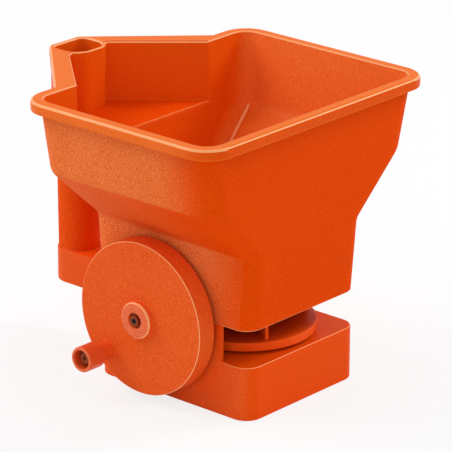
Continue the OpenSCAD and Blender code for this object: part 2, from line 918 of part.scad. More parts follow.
module bearing_cap() {
  color(dark_c)
    difference() {
      translate([rib_x, cross_y - rib_half, cross_z - cap_h])
        cube([rib_t, 2 * rib_half, cap_h]);
      translate([0, cross_y, cross_z])
        along_x(rib_x - over, rib_x + rib_t + over, cross_bush_d);
      cap_screws_at(screw_r, big);
    }
}

module cap_screws() {
  color(steel_c)
    for (side = [-1, 1])
      translate([rib_x + rib_t / 2, cross_y + side * cap_screw_y, cross_z - cap_h - head_h])
        screw(cap_h + rib_pilot - pilot_spare);
}

pin_d = 2.5;
pin_rise = 4;
crown_foot = cover_t + step_h + bush_flange + 2 * clear;
crown_pin_z = crown_foot + pin_rise;
spinner_pin_z = plate_z + pin_rise;
module spinner_shaft() {
  color(steel_c)
    translate(spin_c)
      difference() {
        translate([0, 0, shaft_foot])
          cylinder(h = shaft_top - shaft_foot, d = shaft_d);
        translate([0, 0, crown_pin_z])
          along_y(-shaft_d, shaft_d, pin_d);
        translate([0, 0, spinner_pin_z])
          along_y(-shaft_d, shaft_d, pin_d);
        translate([0, 0, shaft_top - pilot])
          cylinder(h = pilot + over, r = screw_r);
      }
}

tooth_out = 2.5;
tooth_in = 1.5;
pin_short = 1;
crown_out = crown_r + tooth_out;
crown_in = crown_r - tooth_in;
crown_tooth = 1.4;
tooth_inset = 0.2;
module crown_gear() {
  slope = tan(pressure_a);
  top = crown_tooth / 2 - tooth_add * slope;
  root = crown_tooth / 2 + tooth_ded * slope;
  body_top = crown_pitch_z - tooth_ded;
  color(dark_c)
    translate(spin_c)
      difference() {
        union() {
          translate([0, 0, crown_foot])
            cylinder(h = body_top - crown_foot, r = crown_out);
          for (k = [0 : crown_n - 1])
            rotate(180 + 360 * (k + 0.5) / crown_n)
              translate([crown_in, 0, crown_pitch_z])
                rotate([90, 0, 90])
                  linear_extrude(crown_out - crown_in - tooth_inset)
                    polygon([[-root, -tooth_ded - tooth_inset], [root, -tooth_ded - tooth_inset],
                             [top, tooth_add], [-top, tooth_add]]);
        }
        translate([0, 0, crown_foot - over])
          cylinder(h = big, d = shaft_d);
        translate([0, 0, crown_pin_z])
          along_y(-crown_out - over, crown_out + over, pin_d);
      }
}

module crown_pin() {
  color(steel_c)
    translate(spin_c + [0, 0, crown_pin_z])
      along_y(-crown_out + pin_short, crown_out - pin_short, pin_d);
}

module step_bush() {
  color(brass_c)
    translate(spin_c + [0, 0, cover_t])
      bush(shaft_d + 2 * run, shaft_bush_d, step_h);
}

module deck_bush() {
  color(brass_c)
    translate(spin_c + [0, 0, deck_z - deck_t - deck_boss])
      bush(shaft_d + 2 * run, shaft_bush_d, deck_t + deck_boss);
}

spinner_foot = deck_z + bush_flange + clear;
spinner_hub_top = plate_z + 2 * pin_rise;
vane_inset = 3.5;
module spinner() {
  r = spinner_d / 2;
  color(shell_c)
    translate(spin_c)
      difference() {
        union() {
          translate([0, 0, spinner_z])
            difference() {
              cylinder(h = spinner_rim, r = r);
              translate([0, 0, -over])
                cylinder(h = spinner_rim - vane_t + over, r = r - vane_t);
            }
          translate([0, 0, spinner_foot])
            cylinder(h = spinner_hub_top - spinner_foot, r = hub_r);
          intersection() {
            for (k = [0 : vane_n - 1])
              rotate(vane_angle + 360 * k / vane_n)
                translate([shaft_d / 2 + over, -vane_t / 2, plate_z - vane_t / 2])
                  cube([r, vane_t, vane_h + vane_t / 2]);
            cylinder(h = vane_top, r = r - vane_inset);
          }
        }
        translate([0, 0, spinner_foot - over])
          cylinder(h = big, d = shaft_d);
        translate([0, 0, spinner_pin_z])
          along_y(-hub_r - over, hub_r + over, pin_d);
      }
}

module spinner_pin() {
  color(steel_c)
    translate(spin_c + [0, 0, spinner_pin_z])
      along_y(-hub_r + pin_short, hub_r - pin_short, pin_d);
}

module shaft_seal() {
  color(dark_c)
    translate(spin_c + [0, 0, floor_z])
      difference() {
        cylinder(h = floor_t, d = seal_d);
        translate([0, 0, -over])
          cylinder(h = floor_t + 2 * over, d = shaft_d + 2 * run);
      }
}

agitator_gap = 2;
agitator_cap = 2;
agitator_wall = 3.5;
agitator_foot = floor_top + agitator_gap;
agitator_reach = 23;
finger_d = 6;
finger_h = 9;
upright_d = 5;
module agitator() {
  mid = agitator_foot + finger_d / 2 + agitator_cap / 2;
  color(shell_c)
    translate(spin_c)
      difference() {
        union() {
          translate([0, 0, agitator_foot])
            cylinder(h = shaft_top + agitator_cap - agitator_foot, d = shaft_d + 2 * agitator_wall);
          translate([0, 0, mid])
            along_x(-agitator_reach, agitator_reach, finger_d);
          for (side = [-1, 1])
            translate([side * (agitator_reach - finger_d / 2), 0, mid])
              cylinder(h = finger_h, d = upright_d);
        }
        translate([0, 0, agitator_foot - over])
          cylinder(h = shaft_top - agitator_foot + over, d = shaft_d);
        cylinder(h = big, r = screw_r);
      }
}

module agitator_screw() {
  color(steel_c)
    translate(spin_c + [0, 0, shaft_top + agitator_cap + head_h])
      rotate([180, 0, 0])
        screw(agitator_cap + pilot - pilot_spare);
}

module gate_plate() {
  color(steel_c)
    difference() {
      union() {
        translate([-gate_w / 2, gate_front, gate_under])
          cube([gate_w, gate_back - gate_front, gate_t]);
        translate([-tongue_w / 2, gate_back - tongue_t, rod_z - rod_d])
          cube([tongue_w, tongue_t, gate_under - rod_z + rod_d + gate_t / 2]);
      }
      translate([0, 0, rod_z])
        along_y(gate_back - tongue_t - over, gate_back + over, rod_d);
    }
}

rail_w = 3;
rail_lip = 3;
flange_w = 8;
guide_inset = 5;
guide_back = gate_back + gate_travel;
guide_x = gate_w / 2 + clear;
guide_under = gate_under - clear - guide_t;
guide_screw_x = guide_x + rail_w + flange_w / 2;
module guide_screws_at(r, h) {
  for (x = [-guide_screw_x, guide_screw_x], y = [gate_front + guide_inset, guide_back - guide_inset])
    translate([x, y, 0])
      cylinder(h = h, r = r);
}

module gate_guide() {
  color(dark_c)
    difference() {
      union() {
        for (side = [0, 1])
          mirror([side, 0, 0]) {
            translate([guide_x, gate_front, guide_under])
              cube([rail_w, guide_back - gate_front, floor_z - guide_under]);
            translate([guide_x - clear - rail_lip, gate_front, guide_under])
              cube([rail_lip + clear + rail_w / 2, guide_back - gate_front, guide_t]);
            translate([guide_x + rail_w / 2, gate_front, floor_z - rail_w])
              cube([flange_w + rail_w / 2, guide_back - gate_front, rail_w]);
          }
        translate([-guide_x - rail_w, gate_front - clear - rail_w, guide_under])
          cube([2 * (guide_x + rail_w), rail_w, floor_z - guide_under]);
        for (side = [0, 1])
          mirror([side, 0, 0])
            translate([guide_x, gate_front - clear - rail_w / 2, guide_under])
              cube([rail_w, clear + rail_w, floor_z - guide_under]);
      }
      guide_screws_at(screw_r + clear / 2, big);
    }
}

guide_grip = 1.8;
module guide_screws() {
  color(steel_c)
    for (x = [-guide_screw_x, guide_screw_x], y = [gate_front + guide_inset, guide_back - guide_inset])
      translate([x, y, floor_z - rail_w - head_h])
        screw(rail_w + guide_grip);
}

nut_t = 3.2;
nut_d = 7.6;
rod_spare = 2;
rod_front = gate_back - tongue_t - nut_t - rod_spare;
eye_d = 9;
eye_w = 8;
link_d = 3.5;
link_spare = 1;
module pull_rod() {
  color(steel_c)
    difference() {
      union() {
        translate([0, 0, rod_z])
          along_y(rod_front, pivot_y - eye_d / 4, rod_d);
        translate([0, pivot_y, rod_z])
          along_x(-eye_w / 2, eye_w / 2, eye_d);
      }
      translate([0, pivot_y, rod_z])
        along_x(-eye_w, eye_w, link_d);
    }
}

module rod_nuts() {
  color(steel_c)
    for (y = [gate_back - tongue_t - nut_t, gate_back])
      translate([0, y, rod_z])
        rotate([-90, 0, 0])
          difference() {
            cylinder(h = nut_t, d = nut_d, $fn = 6);
            translate([0, 0, -over])
              cylinder(h = nut_t + 2 * over, d = rod_d);
          }
}

module rod_bush() {
  color(brass_c)
    translate([0, rod_boss_y, rod_z])
      rotate([-90, 0, 0])
        bush(rod_d + 2 * run, rod_bush_d, rod_boss_end - rod_boss_y);
}

// Return spring: one round wire wound on the pull rod, with plain ends
spring_room = 1.2;
spring_r = rod_d / 2 + spring_room;
spring_gap_end = 0.1;
spring_y0 = gate_back + nut_t + wire_d / 2 + spring_gap_end;
spring_y1 = rod_boss_y - wire_d / 2 - spring_gap_end;
wire_sides = 6;
wire_rings = 8;
spring_pitch = (spring_y1 - spring_y0) / spring_turns;
function spring_at(a) =
  [spring_r * cos(a), spring_y0 + spring_pitch * a / 360, rod_z + spring_r * sin(a)];
function spring_ring(a) =
  let (rise = atan2(spring_pitch, 2 * PI * spring_r),
       out = [cos(a), 0, sin(a)],
       side = [sin(a) * sin(rise), cos(rise), -cos(a) * sin(rise)])
  [for (k = [0 : wire_sides - 1])
    spring_at(a) + wire_d / 2 * (cos(360 * k / wire_sides) * out + sin(360 * k / wire_sides) * side)];
spring_gap = min([for (i = [0 : wire_rings], j = [-2 : 2])
  norm(spring_at(i * 360 / wire_rings) - spring_at(360 + (i + j / 2) * 360 / wire_rings)) - wire_d]);
echo(least_gap_between_spring_turns = spring_gap);
module return_spring() {
  n = spring_turns * wire_rings;
  points = [for (i = [0 : n]) each spring_ring(i * 360 / wire_rings)];
  faces = concat(
    [[for (k = [0 : wire_sides - 1]) k]],
    [[for (k = [wire_sides - 1 : -1 : 0]) n * wire_sides + k]],
    [for (i = [0 : n - 1], k = [0 : wire_sides - 1])
      let (a = i * wire_sides + k, b = i * wire_sides + (k + 1) % wire_sides)
      each [[a, a + wire_sides, b], [b, a + wire_sides, b + wire_sides]]]);
  color(steel_c)
    polyhedron(points, faces, convexity = 8);
}

module link_pin() {
  color(steel_c)
    translate([0, pivot_y, rod_z])
      along_x(-lever_w / 2 - link_spare, lever_w / 2 + link_spare, link_d);
}

// Finger lever: hangs from its pin, and its forked foot drags the pull rod back
lever_arm = pivot_z - rod_z;
lever_swing = atan(gate_travel / lever_arm);
slot_play = 0.3;
slot_spare = 0.5;
slot_l = lever_arm / cos(lever_swing) - lever_arm + slot_spare;
fork_room = 4;
fork_h = eye_d / 2 + fork_room;
lever_eye_r = 6.5;
hollow_r = 60;
hollow_depth = 1.8;
hollow_rise = 4;
module finger_lever() {
  foot = arm_z + 2 * clear;
  color(fitting_c)
    difference() {
      translate([-lever_w / 2, 0, 0])
        rotate([90, 0, 90])
          linear_extrude(lever_w)
            difference() {
              union() {
                translate([pivot_y, pivot_z])
                  circle(lever_eye_r);
                translate([pivot_y - lever_t / 2, foot])
                  square([lever_t, pivot_z - foot]);
              }
              translate([pivot_y + lever_t / 2 + hollow_r - hollow_depth,
                         (foot + pivot_z) / 2 + hollow_rise])
                circle(hollow_r);
            }
      translate([0, pivot_y, pivot_z])
        along_x(-lever_w, lever_w, rod_d + 2 * run);
      translate([-eye_w / 2 - clear, pivot_y - lever_t, foot - over])
        cube([eye_w + 2 * clear, 2 * lever_t, rod_z + fork_h - foot + over]);
      for (z = [rod_z - slot_l, rod_z + slot_spare])
        translate([0, pivot_y, z])
          along_x(-lever_w, lever_w, link_d + 2 * slot_play);
      translate([-lever_w, pivot_y - link_d / 2 - slot_play, rod_z - slot_l])
        cube([2 * lever_w, link_d + 2 * slot_play, slot_l + slot_spare]);
    }
}

pin_head_t = 2;
pin_head_rim = 1.5;
pin_head_d = rod_d + 2 * pin_head_rim;
module lever_pin() {
  reach = lever_w / 2 + clear + lug_t;
  color(steel_c)
    translate([0, pivot_y, pivot_z]) {
      along_x(-reach, reach + pin_short, rod_d);
      along_x(-reach - pin_head_t, -reach, pin_head_d);
    }
}

hopper();
base_housing();
bottom_cover();
cover_screws();
hopper_screws();
grip_screw();
crank_axle();
crank_disc();
hub_washer();
hub_screw();
knob_sleeve();
knob_washer();
knob_screw();
cross_shaft();
drive_pinion();
crown_pinion();
shaft_clip();
outer_bush();
inner_bush();
bearing_cap();
cap_screws();
spinner_shaft();
crown_gear();
crown_pin();
step_bush();
deck_bush();
spinner();
spinner_pin();
shaft_seal();
agitator();
agitator_screw();
gate_plate();
gate_guide();
guide_screws();
pull_rod();
rod_nuts();
rod_bush();
return_spring();
link_pin();
finger_lever();
lever_pin();
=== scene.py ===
import json
import math

import bmesh
import bpy
from mathutils import Matrix, Vector


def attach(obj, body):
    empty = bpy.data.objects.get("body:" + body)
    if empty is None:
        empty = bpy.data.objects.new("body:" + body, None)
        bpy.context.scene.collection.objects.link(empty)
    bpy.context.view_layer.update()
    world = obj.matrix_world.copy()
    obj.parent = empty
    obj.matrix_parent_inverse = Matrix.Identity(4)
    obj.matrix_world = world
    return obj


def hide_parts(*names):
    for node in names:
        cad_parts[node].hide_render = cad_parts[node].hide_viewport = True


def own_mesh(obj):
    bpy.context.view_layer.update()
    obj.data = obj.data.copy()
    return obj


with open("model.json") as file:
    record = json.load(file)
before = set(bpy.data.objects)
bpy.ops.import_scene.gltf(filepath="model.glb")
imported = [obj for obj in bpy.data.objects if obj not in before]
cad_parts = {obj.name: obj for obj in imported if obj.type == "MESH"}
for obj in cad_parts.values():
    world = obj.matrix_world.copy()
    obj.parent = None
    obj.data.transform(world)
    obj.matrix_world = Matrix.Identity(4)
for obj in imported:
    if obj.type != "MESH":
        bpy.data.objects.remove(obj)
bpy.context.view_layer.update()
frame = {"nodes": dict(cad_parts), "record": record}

# Hopper: one thin moulding in orange polypropylene. Funnel, neck, turned-down rim, rear pocket and the
# hollow grip come out of one tool; its outside is grained, its rim and inside are smooth. Four screws
# hold its foot on the base and one holds the foot of the grip.
MM = 0.001
sharp = 0.05  # radius of a corner that is left square
corner_steps = 14
wall, floor_thick = 2.6, 2.4
rim_top, rim_lip, rim_drop, rim_edge = 201.0, 8.6, 7.5, 2.2
lip_foot, rim_under = rim_top - rim_drop, rim_top - wall
lip_round, edge_round = 2.6, 1.3
rim_plan = (110.0, -84.0, 80.0, 20.0)
# Sections of the wall: height, half width, front, back, corner radius.
hopper_foot = (62.0, 55.0, -68.8, 64.0, 12.0)
hopper_slope = (95.0, 55.65, -70.99, 66.37, 12.0)
hopper_neck = (113.0, 56.0, -72.18, 67.67, 12.0)
hopper_bend = (151.0, 98.0, -74.69, 73.0, 18.0)
hopper_top = (201.0, 104.0, -78.0, 74.0, 14.0)
hopper_floor = (76.4, 37.0, -44.0, 38.0, 8.0)
bend_reach, bend_steps = 4.0, 7
back_inside = 71.4
pocket_half, pocket_lean, pocket_apex, pocket_floor = 64.0, 0.90419, 121.5, 159.3
pocket_lip, apex_lip, lip_end = 15.3, 12.1, 145.2
grip_y, grip_foot = 132.0, 58.0
shaft_y = -18.0
screw_hole = 1.75


def quarter_turn(steps):
    """Angles from nothing to a right angle."""
    return [math.pi / 2 * k / steps for k in range(steps + 1)]


def plan(corners, inset=0.0, steps=corner_steps):
    """Points round a polygon whose corners (x, y, radius) run anticlockwise, drawn in by inset."""
    n = len(corners)
    moved = []
    for i in range(n):
        before, here, after = (Vector(corners[(i + k) % n][:2]) for k in (-1, 0, 1))
        first, second = (here - before).normalized(), (after - here).normalized()
        turn = first.cross(second)
        half = (1 + first.dot(second)) / 2
        normal = Vector((-first.y - second.y, first.x + second.x)) / (2 * half)
        radius = corners[i][2] - inset if turn > 0 else corners[i][2] + inset
        moved.append((here + normal * inset, max(radius, 0.02)))
    points = []
    for i in range(n):
        before, (here, radius), after = moved[i - 1][0], moved[i], moved[(i + 1) % n][0]
        first, second = (here - before).normalized(), (after - here).normalized()
        angle = math.atan2(first.cross(second), first.dot(second))
        reach = radius * math.tan(abs(angle) / 2)
        side = math.copysign(1, angle)
        centre = here - first * reach + Vector((-first.y, first.x)) * side * radius
        start = here - first * reach - centre
        for k in range(steps + 1):
            points.append(centre + Matrix.Rotation(angle * k / steps, 2) @ start)
    return points


def square(left, right, front, back, radius=sharp, back_radius=None):
    """Corners of a rectangle, front first."""
    rear = radius if back_radius is None else back_radius
    return [(left, front, radius), (right, front, radius), (right, back, rear), (left, back, rear)]


def oblong(half, front, back, radius, back_radius=None):
    """Corners of a rectangle that is even about the middle, from its right front corner on."""
    corners = square(-half, half, front, back, radius, back_radius)
    return corners[1:] + corners[:1]


def quarter(z, inset, radius, way, steps=5):
    """Heights and insets round the edge of a slab: way 'top' closes it, 'foot' opens it."""
    out = []
    for a in quarter_turn(steps):
        early, late = radius * (1 - math.cos(a)), radius * (1 - math.sin(a))
        out.append((z - late, inset + early) if way == "top" else (z + early, inset + late))
    return out


def put(name, data):
    """New object at the origin, in the scene."""
    piece = bpy.data.objects.new(name, data)
    bpy.context.scene.collection.objects.link(piece)
    return piece


def solid(name, rings, loop=False):
    """Mesh object through rings of points, all of one count; capped at both ends or closed on itself."""
    mesh = bmesh.new()
    made = [[mesh.verts.new(Vector(p) * MM) for p in ring] for ring in rings]
    count = len(made[0])
    pairs = list(zip(made, made[1:])) + ([(made[-1], made[0])] if loop else [])
    for low, high in pairs:
        for i in range(count):
            j = (i + 1) % count
            mesh.faces.new((low[i], low[j], high[j], high[i]))
    if not loop:
        mesh.faces.new(list(reversed(made[0])))
        mesh.faces.new(made[-1])
    bmesh.ops.recalc_face_normals(mesh, faces=mesh.faces)
    data = bpy.data.meshes.new(name)
    mesh.to_mesh(data)
    mesh.free()
    return put(name, data)


def slab(name, corners, levels, steps=corner_steps):
    """Upright solid on a plan, with an inset for each height."""
    return solid(name, [[(p.x, p.y, z) for p in plan(corners, inset, steps)] for z, inset in levels])


def bar(name, corners, places, steps=corner_steps):
    """Solid that lies along X on a plan in Y and Z, with an inset for each place."""
    return solid(name, [[(x, p.x, p.y) for p in plan(corners, inset, steps)] for x, inset in places])


def turned(name, profile, centre, axis, steps=96):
    """Solid turned round an axis along X or Z from a closed profile of (place, radius)."""
    rings = []
    for place, radius in profile:
        ring = []
        for k in range(steps):
            a = 2 * math.pi * k / steps
            u, v = centre[0] + radius * math.cos(a), centre[1] + radius * math.sin(a)
            ring.append((place, u, v) if axis == "X" else (u, v, place))
        rings.append(ring)
    return solid(name, rings, loop=True)


def rod(name, start, end, radius, steps=48, soft=0.0):
    """Round solid between two points, its end edges rounded by soft. It bores, and builds bosses and fingers."""
    a, b = Vector(start), Vector(end)
    way = (b - a).normalized()
    side = way.orthogonal().normalized()
    other = way.cross(side)
    ends = [(0.0, 0.0)]
    if soft:
        ends = [(soft * (1 - math.cos(t)), soft * (1 - math.sin(t))) for t in quarter_turn(4)]
    places = [(a + way * along, radius - drawn) for along, drawn in ends]
    places += [(b - way * along, radius - drawn) for along, drawn in reversed(ends)]
    turns = [2 * math.pi * k / steps for k in range(steps)]
    rings = [[p + r * (side * math.cos(t) + other * math.sin(t)) for t in turns] for p, r in places]
    return solid(name, rings)


def settle(piece):
    """Works a piece's modifier into a plain mesh."""
    graph = bpy.context.evaluated_depsgraph_get()
    made = bpy.data.meshes.new_from_object(piece.evaluated_get(graph))
    piece.modifiers.clear()
    old = piece.data
    piece.data = made
    bpy.data.meshes.remove(old)


def combine(piece, tool, way):
    """Works a tool into a piece and removes the tool."""
    step = piece.modifiers.new("step", "BOOLEAN")
    step.operation, step.object, step.solver = way, tool, "EXACT"
    settle(piece)
    bpy.data.objects.remove(tool)


def join(piece, tool):
    combine(piece, tool, "UNION")


def cut(piece, tool):
    combine(piece, tool, "DIFFERENCE")


def bend_between(before, here, after):
    """Sections round a bend of the wall, from bend_reach before it to bend_reach after it."""
    a, b, c = (Vector(s) for s in (before, here, after))
    first = b + (a - b) * bend_reach / math.hypot(a[0] - b[0], a[1] - b[1])
    last = b + (c - b) * bend_reach / math.hypot(c[0] - b[0], c[1] - b[1])
    out = []
    for k in range(bend_steps + 1):
        t = k / bend_steps
        out.append(tuple((1 - t) ** 2 * first + 2 * t * (1 - t) * b + t * t * last))
    return out


def wall_ring(section, inset):
    """Points round a section of the hopper or its grip, drawn in by inset."""
    z, *sides = section
    return [(p.x, p.y, z) for p in plan(oblong(*sides), inset)]


def between(low, high, z):
    """Section at a height between two others."""
    share = (z - low[0]) / (high[0] - low[0])
    return tuple(a + (b - a) * share for a, b in zip(low, high))


outer_wall = bend_between(hopper_foot, hopper_neck, hopper_bend)
outer_wall += bend_between(hopper_neck, hopper_bend, hopper_top)
under_floor = (hopper_floor[0] - floor_thick,) + hopper_floor[1:]
skirt_top = between(hopper_foot, hopper_neck, hopper_slope[0] - 2.25 * floor_thick)
foot_edge = between(hopper_foot, hopper_neck, 62.6)
hopper_rings = [wall_ring(under_floor, -floor_thick), wall_ring(skirt_top, wall),
                wall_ring(hopper_foot, wall), wall_ring(hopper_foot, 0.5), wall_ring(foot_edge, 0.0)]
hopper_rings += [wall_ring(s, 0.0) for s in outer_wall]
for drop, out in ((1.2, 0.0), (0.35, 0.35), (0.0, 1.2)):
    hopper_rings.append(wall_ring(between(hopper_bend, hopper_top, rim_under - drop), -out))
rim_levels = [(rim_under, rim_edge), (lip_foot + 0.5, rim_edge), (lip_foot, rim_edge - 0.5),
              (lip_foot, 0.8), (lip_foot + 0.23, 0.23), (lip_foot + 0.8, 0.0)]
rim_levels += quarter(rim_top, 0.0, lip_round, "top", 8)
rim_levels += [(rim_top - edge_round * (1 - math.cos(a)), rim_lip - edge_round * (1 - math.sin(a)))
               for a in quarter_turn(5)]
hopper_rings += [wall_ring((z, *rim_plan), inset) for z, inset in rim_levels]
hopper_rings += [wall_ring(s, wall) for s in reversed(outer_wall)]
hopper_rings += [wall_ring(hopper_slope, wall), wall_ring(hopper_floor, 0.0)]
hopper = solid("hopper_moulding", hopper_rings)


def pocket_corners(out, end_out, start, end, radius):
    """Corners of the pocket's plan, drawn out from its inside walls, from one place along Y to another."""
    lean = math.hypot(1, pocket_lean)
    near = pocket_half + out * lean - (start - back_inside) * pocket_lean
    far = pocket_half + end_out * lean - (end - back_inside) * pocket_lean
    return [(near, start, sharp), (far, end, radius), (-far, end, radius), (-near, start, sharp)]


lip_start = back_inside + wall / 2
lip_corners = pocket_corners(pocket_lip, apex_lip, lip_start, lip_end, 5.0)
lip_levels = quarter(lip_foot, 0.0, 0.7, "foot") + quarter(rim_top, 0.0, 2.0, "top")
pocket_rim = slab("pocket_rim", lip_corners, lip_levels)
lip_hollow = pocket_corners(pocket_lip - rim_edge, apex_lip - rim_edge, back_inside - 2,
                            lip_end - rim_edge, 3.0)
cut(pocket_rim, slab("hollow", lip_hollow, [(lip_foot - 1, 0), (rim_under, 0)]))
join(hopper, pocket_rim)
pocket_box = pocket_corners(wall, wall, lip_start, pocket_apex + wall, 3.0)
box_levels = quarter(pocket_floor - wall, 0.0, 1.6, "foot") + [(rim_top - 1, 0)]
join(hopper, slab("box", pocket_box, box_levels))

# Sections of the grip: height, half width, front, back, front and back corner radius.
grip_low = (grip_foot, 14.2, grip_y - 14.2, grip_y + 14.2, 14.0, 14.0)
grip_mid = (156.3, 14.9, grip_y - 14.9, grip_y + 14.9, 14.7, 14.7)
grip_mouth = (rim_top, 17.5, grip_y - 16.8, grip_y + 12.4, 13.0, 8.0)
grip_wide = (pocket_floor,) + grip_mouth[1:]
mouth_round = 1.1


def grip_tube(name):
    """The grip's outside as a solid, from its foot to its mouth."""
    rings = [wall_ring(grip_low, 0.6), wall_ring(between(grip_low, grip_mid, grip_foot + 0.6), 0.0),
             wall_ring(between(grip_low, grip_mid, grip_mid[0] - 0.8), 0.0),
             wall_ring(between(grip_mid, grip_wide, grip_mid[0] + 0.4), 0.0), wall_ring(grip_wide, 0.0)]
    for z, inset in quarter(rim_top, 0.0, mouth_round, "top"):
        rings.append(wall_ring((z, *grip_mouth[1:]), inset))
    return solid(name, rings)


join(hopper, grip_tube("tube"))
mouth_y = back_inside - 0.9
mouth_x = pocket_half - (mouth_y - back_inside) * pocket_lean
apex_x = pocket_half - (pocket_apex - back_inside) * pocket_lean
half_void = [(mouth_x + 9, mouth_y - 6, sharp), (mouth_x + 9, mouth_y, sharp), (mouth_x, mouth_y, 2.6),
             (apex_x, pocket_apex, 2.4)]
pocket_void = half_void + [(-x, y, radius) for x, y, radius in reversed(half_void)]
void_round = 1.2
void_levels = quarter(pocket_floor, 0.0, 0.5, "foot")
void_levels += [(rim_top - void_round * math.cos(a), -void_round * (1 - math.cos(a))) for a in quarter_turn(4)]
void_levels[-1] = (rim_top + 2, -void_round)
void = slab("void", pocket_void, void_levels)
cut(void, grip_tube("kept"))
cut(hopper, void)
bore = [wall_ring(between(grip_low, grip_mid, grip_foot + 18), wall + 1),
        wall_ring(between(grip_low, grip_mid, grip_foot + 19), wall),
        wall_ring(grip_mid, wall), wall_ring(grip_wide, wall)]
for a in quarter_turn(4):
    bore_level = (rim_top - mouth_round * math.cos(a), *grip_mouth[1:])
    bore.append(wall_ring(bore_level, wall - mouth_round * (1 - math.cos(a))))
bore.append(wall_ring((rim_top + 3, *grip_mouth[1:]), wall - mouth_round - 0.2))
cut(hopper, solid("bore", bore))
sill = 1.1
sill_y = between(hopper_bend, hopper_top, pocket_floor)[3] - wall
sill_cut = [(sill_y - 1, pocket_floor - sill), (sill_y - 1, pocket_floor + 1), (sill_y + sill, pocket_floor + 1)]
sill_cut += [(sill_y + sill * (1 - math.sin(a)), pocket_floor - sill * (1 - math.cos(a)))
             for a in quarter_turn(6)]
cut(hopper, solid("sill", [[(x, y, z) for y, z in sill_cut] for x in (-mouth_x, mouth_x)]))
bead_foot, bead_head, bead_radius = (56.5, 56.5, 115.6), (93.2, 60.5, 150.9), 1.25
for side in (-1, 1):
    ends = [(side * x, y, z) for x, y, z in (bead_foot, bead_head)]
    join(hopper, rod("bead", *ends, bead_radius, 16, 1.15))

# Small forms of the same moulding: lugs for the lever's pin, boss for the pull rod, posts over the base's
# posts, the outlet, and the holes for seal, screws, pin, rod and crank axle.
lug_y, lug_z, lug_radius = 84.0, 138.0, 7.0
lug_off, lug_thick, lug_edge, lug_root, lug_stop = 9.9, 3.0, 0.5, 66.0, 69.7
lug_corners = [(lug_root, lug_z - lug_radius, sharp), (lug_y + lug_radius, lug_z - lug_radius, lug_radius - sharp),
               (lug_y + lug_radius, lug_z + lug_radius, lug_radius - sharp), (lug_root, lug_z + lug_radius, sharp)]
for side in (-1, 1):
    low = side * lug_off - lug_thick / 2
    high = low + lug_thick
    lug = bar("lug", lug_corners, [(low, lug_edge), (low + lug_edge, 0), (high - lug_edge, 0), (high, lug_edge)])
    cut(lug, slab("inside", oblong(90, -60, lug_stop, 10), [(100, 0), (190, 0)]))
    join(hopper, lug)
rod_height = 67.6
join(hopper, rod("boss", (0, 59.4, rod_height), (0, 66.0, rod_height), 5.4))
hopper_posts = ((43.0, 34.0), (-43.0, 34.0), (25.0, 54.0), (-25.0, 54.0))
post_radius = 4.75
for x, y in hopper_posts:
    join(hopper, rod("post", (x, y, 62), (x, y, 74.5 if y < 40 else 80.0), post_radius))
    cut(hopper, rod("hole", (x, y, 61), (x, y, 74), screw_hole))
cut(hopper, slab("outlet", oblong(15, -6, 10, 1.0), [(70, 0), (82, 0)], 4))
crank = (9.0, 57.5)
for start, end, radius in (((0, shaft_y, 70), (0, shaft_y, 82), 7.0),
                           ((0, grip_y, 57), (0, grip_y, 73), screw_hole),
                           ((0, 57, rod_height), (0, 69, rod_height), 3.2),
                           ((-20, lug_y, lug_z), (20, lug_y, lug_z), 2.0),
                           ((-60, *crank), (-39.2, *crank), 7.9)):
    cut(hopper, rod("hole", start, end, radius))


class Tap:
    """A socket of a material's tree. Arithmetic on it adds Math nodes; add() makes any other node."""

    def __init__(self, tree, socket=None):
        self.tree, self.socket = tree, socket

    def add(self, kind, settings=None, sockets=None, out=0):
        node = self.tree.nodes.new(kind)
        for key, value in (settings or {}).items():
            if key == "stops":
                ramp = node.color_ramp.elements
                while len(ramp) < len(value):
                    ramp.new(0.5)
                for stop, (place, colour) in zip(ramp, value):
                    stop.position, stop.color = place, colour
            else:
                setattr(node, key, value)
        for key, value in (sockets or {}).items():
            if isinstance(value, Tap):
                self.tree.links.new(value.socket, node.inputs[key])
            else:
                node.inputs[key].default_value = value
        return Tap(self.tree, node.outputs[out])

    def maths(self, way, a, b):
        return self.add("ShaderNodeMath", {"operation": way}, {0: a, 1: b})

    def __add__(self, other):
        return self.maths("ADD", self, other)

    __radd__ = __add__

    def __mul__(self, other):
        return self.maths("MULTIPLY", self, other)

    __rmul__ = __mul__

    def __sub__(self, other):
        return self.maths("SUBTRACT", self, other)

    def __rsub__(self, other):
        return self.maths("SUBTRACT", other, self)

    def mix(self, a, b):
        """Colour that goes from a to b with this value."""
        return self.add("ShaderNodeMix", {"data_type": "RGBA"}, {0: self, 6: a, 7: b}, out=2)


def new_finish(name, **constants):
    """Material with a Principled shader; returns it, a tap on its tree and the shader's inputs."""
    finish = bpy.data.materials.new(name)
    finish.use_nodes = True
    shader = finish.node_tree.nodes["Principled BSDF"]
    for key, value in constants.items():
        shader.inputs[key.replace("_", " ")].default_value = value
    return finish, Tap(finish.node_tree), shader.inputs


def feed(tap, socket):
    tap.tree.links.new(tap.socket, socket)


def noise(place, scale, detail, rough):
    """Noise over the piece; scale is in lumps to the metre."""
    return place.add("ShaderNodeTexNoise", {}, {"Vector": place, "Scale": scale, "Detail": detail,
                                                "Roughness": rough})


